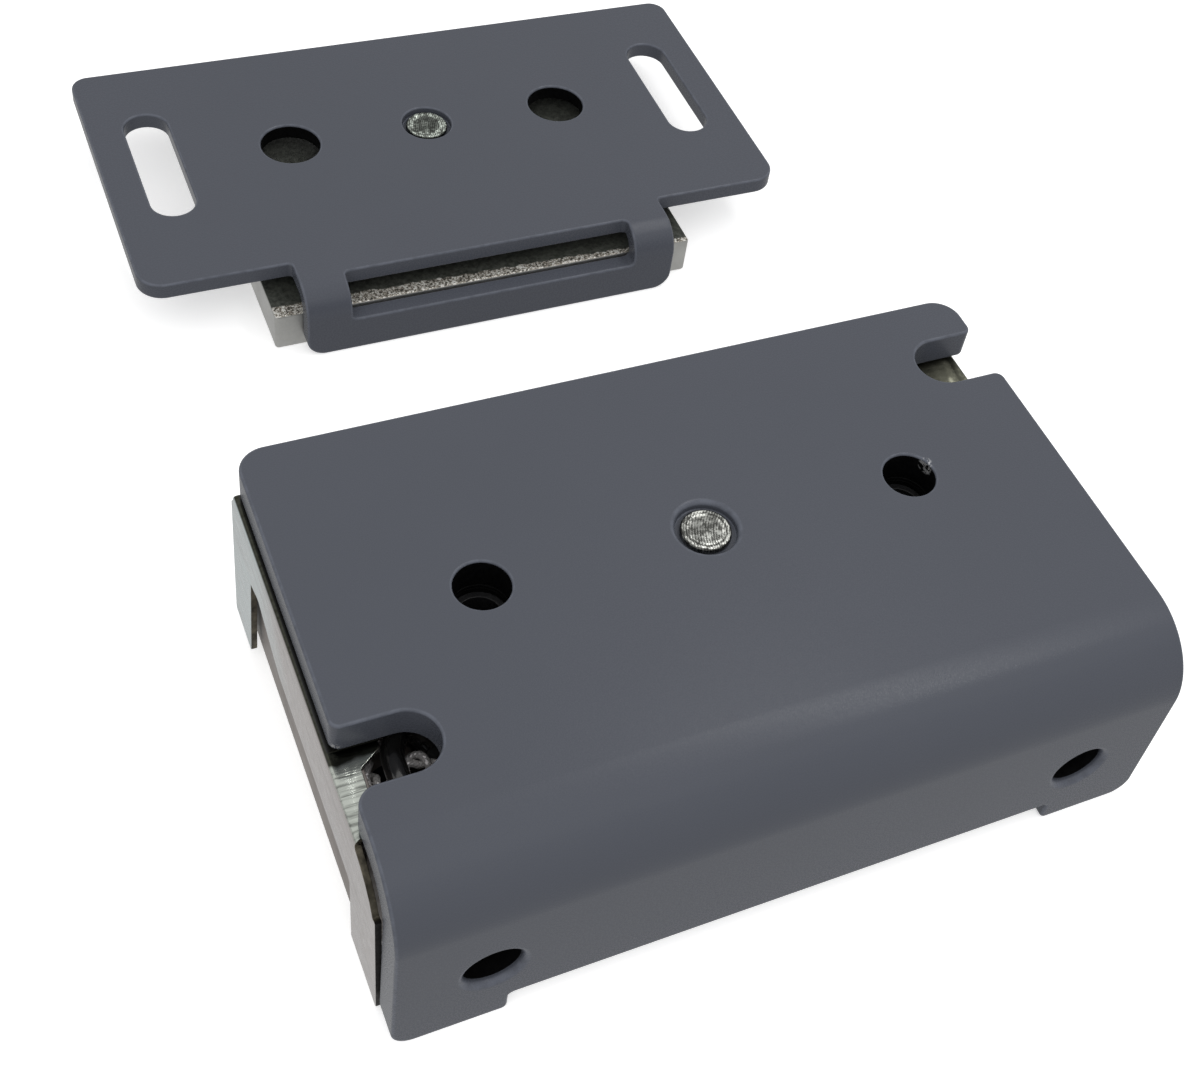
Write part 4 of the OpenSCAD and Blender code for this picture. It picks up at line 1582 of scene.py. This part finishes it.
@dataclass
class Washer:
    """Ring with eased edges, standing on a plane."""

    name: str
    centres: tuple[tuple[float, float], ...]
    low: float
    high: float
    outer: float
    inner: float
    arris: float = 0.2

    def build(self, finish: Material, body: Body, slot: str, node: str) -> bpy.types.Object:
        """Builds one ring or several alike as a flat sheet cut round.

        Args:
            finish: the material.
            body: the body that carries it.
            slot: the record's slot.
            node: the CAD node it replaces.

        Returns:
            The object.
        """
        points, normals, faces, marks, at = [], [], [], [], 0
        edge = soft_edge(self.high - self.low, self.arris, 3)
        for x, y in self.centres:
            loops = [cut(round_hole(x, y, self.outer / 2), False, edge, 5.0),
                     cut(round_hole(x, y, self.inner / 2), True, edge, 5.0)]
            flat = level_sheet(self.high, loops).shape()
            points.append(flat.points)
            normals.append(flat.normals)
            faces += [f + at for f in flat.faces]
            marks += flat.marks
            at += len(flat.points)
        shape = Shape(np.concatenate(points), np.concatenate(normals), faces, marks)
        return finish_piece(shape.write(self.name, [finish]), body, slot, node)


@dataclass
class Armature:
    """Ground steel bar that floats under the strike plate."""

    centre_y: float = STRIKE_Y
    half_length: float = 42.2
    front: float = 40.1
    rear: float = 28.5
    low: float = FEET
    high: float = 5.9
    bore: float = 6.1
    sink: float = 11.0
    sink_depth: float = 2.6
    arris: float = 0.45

    def build(self, steel: Material) -> bpy.types.Object:
        """Builds the bar as a thick plate with its bore and countersink.

        Args:
            steel: its finish.

        Returns:
            The object.
        """
        thick = self.high - self.low
        c = self.centre_y
        corners = box_corners(-self.half_length, self.half_length, c - self.front, c + self.rear, 0.7)
        outline = cut(corners, False, soft_edge(thick, self.arris), 7.5)
        flare = (self.sink - self.bore) / 2
        inset = np.array([0.2, 0.0, 0.0, 0.0, flare, flare])
        depth = np.array([0.0, 0.2, thick - self.sink_depth, thick - self.sink_depth, thick - 0.01, thick])
        turn = np.array([45.0, 90.0, 90.0, 133.0, 133.0, 160.0])
        bore = cut(round_hole(0.0, c, self.bore / 2), True, (inset, depth, turn), 6.0)
        bar = level_sheet(self.high, [outline, bore]).shape().write("ground_bar", [steel])
        return finish_piece(bar, Body.ARMATURE, "zinc_bar", "armature")


@dataclass
class StowedLeads:
    """The sheathed lead over the left notch and the twisted pair that passes under it."""

    sheath: tuple[Point, ...] = (
        (-47.6, -25.2, 22.2), (-48, -26.8, 21.8), (-49.7, -27.4, 22), (-51.7, -27.4, 23.2), (-53.6, -27.2, 25.3),
        (-54.8, -26, 26.8), (-55, -23.5, 27.2), (-55, -20.5, 27.2), (-54.8, -17.5, 27.1), (-53.4, -14.6, 26.4),
        (-51.4, -13.1, 24.6), (-49.8, -13.6, 22.8), (-48.8, -15, 21.7))
    pair: tuple[Point, ...] = (
        (-39.6, -11.5, 20.4), (-41.4, -11.5, 20.4), (-43.4, -11.1, 20.5), (-46, -10.6, 20.6), (-51, -10.3, 20.8),
        (-55.4, -11, 21.6), (-57.7, -13.8, 22.6), (-58, -17.2, 23.3), (-57.6, -19.7, 23.8), (-56.3, -20.8, 24),
        (-54.5, -19.4, 24), (-52.8, -17.9, 24), (-51.2, -17.5, 24), (-49.6, -18.7, 23.9), (-48.3, -21.6, 23.3),
        (-47.7, -24.5, 22.5))
    sheath_d: float = 3.4
    strand_d: float = 1.2
    strand_r: float = 0.66
    pitch: float = 6.0
    wires: int = 5
    wire_lay: float = 3.2
    cap_run: tuple[float, float] = (0.12, 1.6)
    cap_middle: float = 0.86
    cap_half: float = 0.76
    cap_radius: float = 2.0

    def _strand(self, phase: float) -> np.ndarray:
        """Winds one strand round the pair's middle line: the line plus the strand's radius turned once a pitch.

        Args:
            phase: the strand's angle at the start.

        Returns:
            The strand's middle line.
        """
        line = spline(self.pair, 16)
        _, n, b = frames(line)
        a = (2 * math.pi * arc_length(line) / self.pitch + phase)[:, None]
        return line + self.strand_r * (np.cos(a) * n + np.sin(a) * b)

    def build(self, jacket: Material, strand_a: Material, strand_b: Material, cap: Material) -> None:
        """Builds the lead, its cap and the two strands.

        Args:
            jacket: the sheath's finish.
            strand_a: the first strand's finish.
            strand_b: the second strand's finish.
            cap: the end cap's finish.
        """
        line = spline(self.sheath, 12)
        lead = tube(line, self.sheath_d / 2, 32).write("sheathed_lead", [jacket])
        finish_piece(lead, Body.LOCK, "lead_jacket", "supply_lead")
        for name, phase, finish, node in (("strand_one", 0.0, strand_a, "coil_lead_a"),
                                          ("strand_two", math.pi, strand_b, "coil_lead_b")):
            shape = tube(self._strand(phase), self.strand_d / 2, 30, self.wires, self.wire_lay)
            finish_piece(shape.write(name, [finish]), Body.LOCK, "strand_jacket", node)
        t = line[-1] - line[-2]
        t /= np.linalg.norm(t)
        along = np.linspace(*self.cap_run, 12)
        radius = self.cap_radius * np.sqrt(np.clip(1 - ((along - self.cap_middle) / self.cap_half) ** 8, 0.04, 1.0))
        end = tube(line[-1] + along[:, None] * t, radius, 32).write("lead_cap", [cap])
        finish_piece(end, Body.LOCK, "black_nylon", "lead_plug")


@dataclass(frozen=True)
class Lamp:
    """A flat soft light, its long side across the scene: its place and aim in metres, its sides and its watts."""

    name: str
    at: Point
    to: Point
    size: tuple[float, float]
    power: float
    mirrored: bool = True

    def hang(self) -> None:
        """Adds the light; one that isn't mirrored doesn't show in glossy surfaces."""
        light = bpy.data.lights.new(self.name, "AREA")
        light.shape = "RECTANGLE"
        light.size, light.size_y = self.size
        light.energy = self.power
        lamp = linked(self.name, light)
        lamp.location = self.at
        lamp.rotation_euler = (Vector(self.to) - Vector(self.at)).to_track_quat("-Z", "Y").to_euler()
        lamp.visible_glossy = self.mirrored


@dataclass
class Studio:
    """Pale floor, broad soft light and the camera at the photograph's angle."""

    floor_z: float = FEET
    place: Point = (-100.725, -145.884, 246.06)
    turn: Point = (42.6301, -8.7012, -24.4399)
    lens: float = 54.0447
    shift: tuple[float, float] = (-0.09288, -0.08915)
    room_light: float = 0.61
    lamps: tuple[Lamp, ...] = (
        Lamp("overhead_softbox", (0.0, 0.10, 1.30), (0.0, 0.05, 0.0), (3.0, 3.0), 7.0),
        Lamp("strip_light", (0.40, 0.055, 0.86), (0.0, -0.04, 0.03), (0.70, 0.04), 1.15),
        Lamp("front_fill", (-0.264, -0.725, 0.919), (0.0, 0.0, 0.02), (1.5, 1.0), 5.6, mirrored=False))

    def build(self) -> None:
        """Builds the floor, the lights, the world and the camera."""
        scene = bpy.context.scene
        camera = bpy.data.cameras.new("photo_camera")
        camera.lens = self.lens
        camera.sensor_width = 36.0
        camera.shift_x, camera.shift_y = self.shift
        camera.clip_start, camera.clip_end = 0.01, 20.0
        seat = linked("photo_camera", camera)
        seat.location = Vector(self.place) * MM
        seat.rotation_euler = Euler([math.radians(v) for v in self.turn], "XYZ")
        scene.camera = seat
        self._floor()
        for lamp in self.lamps:
            lamp.hang()
        world = bpy.data.worlds.new("pale_room")
        scene.world = world
        world.use_nodes = True
        back = world.node_tree.nodes["Background"]
        back.inputs["Color"].default_value = (1.0, 1.0, 1.0, 1.0)
        back.inputs["Strength"].default_value = self.room_light
        scene.view_settings.view_transform = "Standard"
        scene.view_settings.look = "None"
        scene.view_settings.exposure = 0.0
        log.info("studio built")

    def _floor(self) -> None:
        """Lays the floor just under the feet; it takes shadows but throws no light back up."""
        side = 3.0
        mesh = bpy.data.meshes.new("floor")
        z = self.floor_z * MM - 0.00002
        mesh.from_pydata([(-side, -side, z), (side, -side, z), (side, side, z), (-side, side, z)], [], [(0, 1, 2, 3)])
        mesh.materials.append(PaleFloor().build())
        floor = linked("floor", mesh)
        floor.visible_diffuse = floor.visible_glossy = False



def build_lock(coat: Material, lining: Material, screw: Material) -> None:
    """Builds the lock body's pieces.

    Args:
        coat: the paint.
        lining: the holes' lining.
        screw: the plain steel of screws and washers.
    """
    black = Moulded("black_nylon", (0.012, 0.012, 0.013), 0.45).build()
    zinc = ZincSheet().build()
    CoverPlate().build(coat, lining)
    MagnetTray().build(zinc, ShearedEdge().build(), lining)
    # Painted highlight and shade: the bright and dark rings on the cover rivet's head.
    crown = StruckSteel("bright_rivet", (0.62, 0.63, 0.59), 0.0, 0.0, 4.05, bands=(
        (0.0, 0.80), (0.62, 0.75), (0.67, 1.6), (0.76, 1.6), (0.79, 0.06), (0.83, 1.2), (0.91, 1.6), (0.95, 0.10),
        (0.985, 0.6))).build()
    rivet = RivetHead("cover_rivet", 0.0, 0.0, seat=34.9, diameter=8.1, foot=21.0)
    rivet.build(crown, Body.LOCK, "rivet_steel", "centre_rivet")
    spacer = Washer("cover_spacer", ((0.0, 0.0),), low=30.0, high=30.7, outer=14.0, inner=6.1)
    spacer.build(screw, Body.LOCK, "screw_steel", "rivet_spacer")
    # Painted shade: the black nylon bushes are drawn in the still darker hole lining.
    bushes = Washer("hole_bushes", ((-ACCESS_X, 0.0), (ACCESS_X, 0.0)), low=30.0, high=30.7, outer=13.0,
                    inner=2 * BOLT_RADIUS)
    bushes.build(lining, Body.LOCK, "black_nylon", "access_bushes")
    StowedLeads().build(
        Moulded("lead_jacket", (0.008, 0.008, 0.008), 0.14, grain=900.0, depth=0.00001, coat=1.0).build(),
        CastMetal("strand_one", (0.62, 0.60, 0.60), 0.25, metal=0.45, grain=1500.0).build(),
        CastMetal("strand_two", (0.95, 0.93, 0.92), 0.22, metal=0.45, grain=1500.0).build(), black)
    block = CastMetal("cast_block", (0.29, 0.262, 0.242), 0.5, metal=0.5).build()
    for node in ("left_end_block", "right_end_block"):
        eased_copy(node, block, 0.4, Body.LOCK, "cast_block")
    core = StackedSteel().build()
    for node in ("centre_pole", "front_pole", "rear_pole"):
        eased_copy(node, core, 0.25, Body.LOCK, "core_steel")
    # Painted shade: the yoke is drawn near black so that the bottoms of the access holes read dark.
    yoke = Moulded("yoke_in_painted_shade", (0.010, 0.010, 0.011), 0.4).build()
    eased_copy("yoke_plate", yoke, 0.25, Body.LOCK, "core_steel")
    dress(("pole_screws", "block_screws"), screw)
    for node, finish in (
            ("coil_bobbin", Moulded("bobbin_nylon", (0.62, 0.60, 0.52), 0.5)),
            ("coil_winding", Enamelled()),
            ("slot_insulation", Moulded("pressed_paper", (0.55, 0.46, 0.28), 0.8, grain=2600.0)),
            ("potting", Moulded("cast_resin", (0.010, 0.010, 0.011), 0.25, grain=260.0, depth=0.0002, coat=0.4)),
            ("surge_varistor", Moulded("varistor_coat", (0.004, 0.005, 0.007), 0.4, grain=700.0, depth=0.00005))):
        dress((node,), finish.build())


def build_strike(coat: Material, lining: Material, screw: Material) -> None:
    """Builds the strike plate and the armature that floats under it.

    Args:
        coat: the paint.
        lining: the holes' lining.
        screw: the plain steel of screws and washers.
    """
    StrikePlate().build(coat, lining)
    Armature().build(PlatedBar().build())
    # Painted highlight and shade: the bright and dark rings on the armature stud's head.
    dull = StruckSteel("dull_rivet", (0.55, 0.60, 0.54), 0.0, STRIKE_Y, 4.15, bands=(
        (0.0, 0.48), (0.60, 0.44), (0.66, 1.3), (0.78, 1.7), (0.86, 0.6), (0.93, 1.7), (0.965, 0.12), (0.99, 0.5)),
        wander=0.5, gloss=0.30, broken=0.8).build()
    stud = RivetHead("armature_stud", 0.0, STRIKE_Y, seat=11.0, diameter=8.3, foot=-2.0, sink=(10.7, 2.5))
    stud.build(dull, Body.ARMATURE, "rivet_dull", "armature_rivet")
    backing = Washer("steel_washer", ((0.0, STRIKE_Y),), low=5.9, high=6.9, outer=18.0, inner=6.6)
    backing.build(screw, Body.ARMATURE, "screw_steel", "backing_washer")
    ring = Washer("rubber_ring", ((0.0, STRIKE_Y),), low=6.9, high=9.1, outer=16.0, inner=6.6, arris=0.4)
    rubber = Moulded("seat_rubber", (0.015, 0.015, 0.015), 0.65).build()
    ring.build(rubber, Body.SEAT, "seat_rubber", "rubber_washer")


def main() -> None:
    """Builds the studio, the shared finishes and each sub-assembly in order."""
    logging.basicConfig(level=logging.INFO, format="%(name)s: %(message)s")
    Studio().build()
    coat = CoatedSteel(chips=((39.9, 1.5, 35.6), (-62.9, -17.0, 31.0))).build()
    # The black hole lining, partly painted shade inside the holes.
    lining = DarkLining().build()
    screw = CastMetal("plated_screws", (0.45, 0.45, 0.46), 0.35, metal=1.0, grain=2500.0).build()
    build_lock(coat, lining, screw)
    build_strike(coat, lining, screw)


if __name__ == "__main__":
    main()
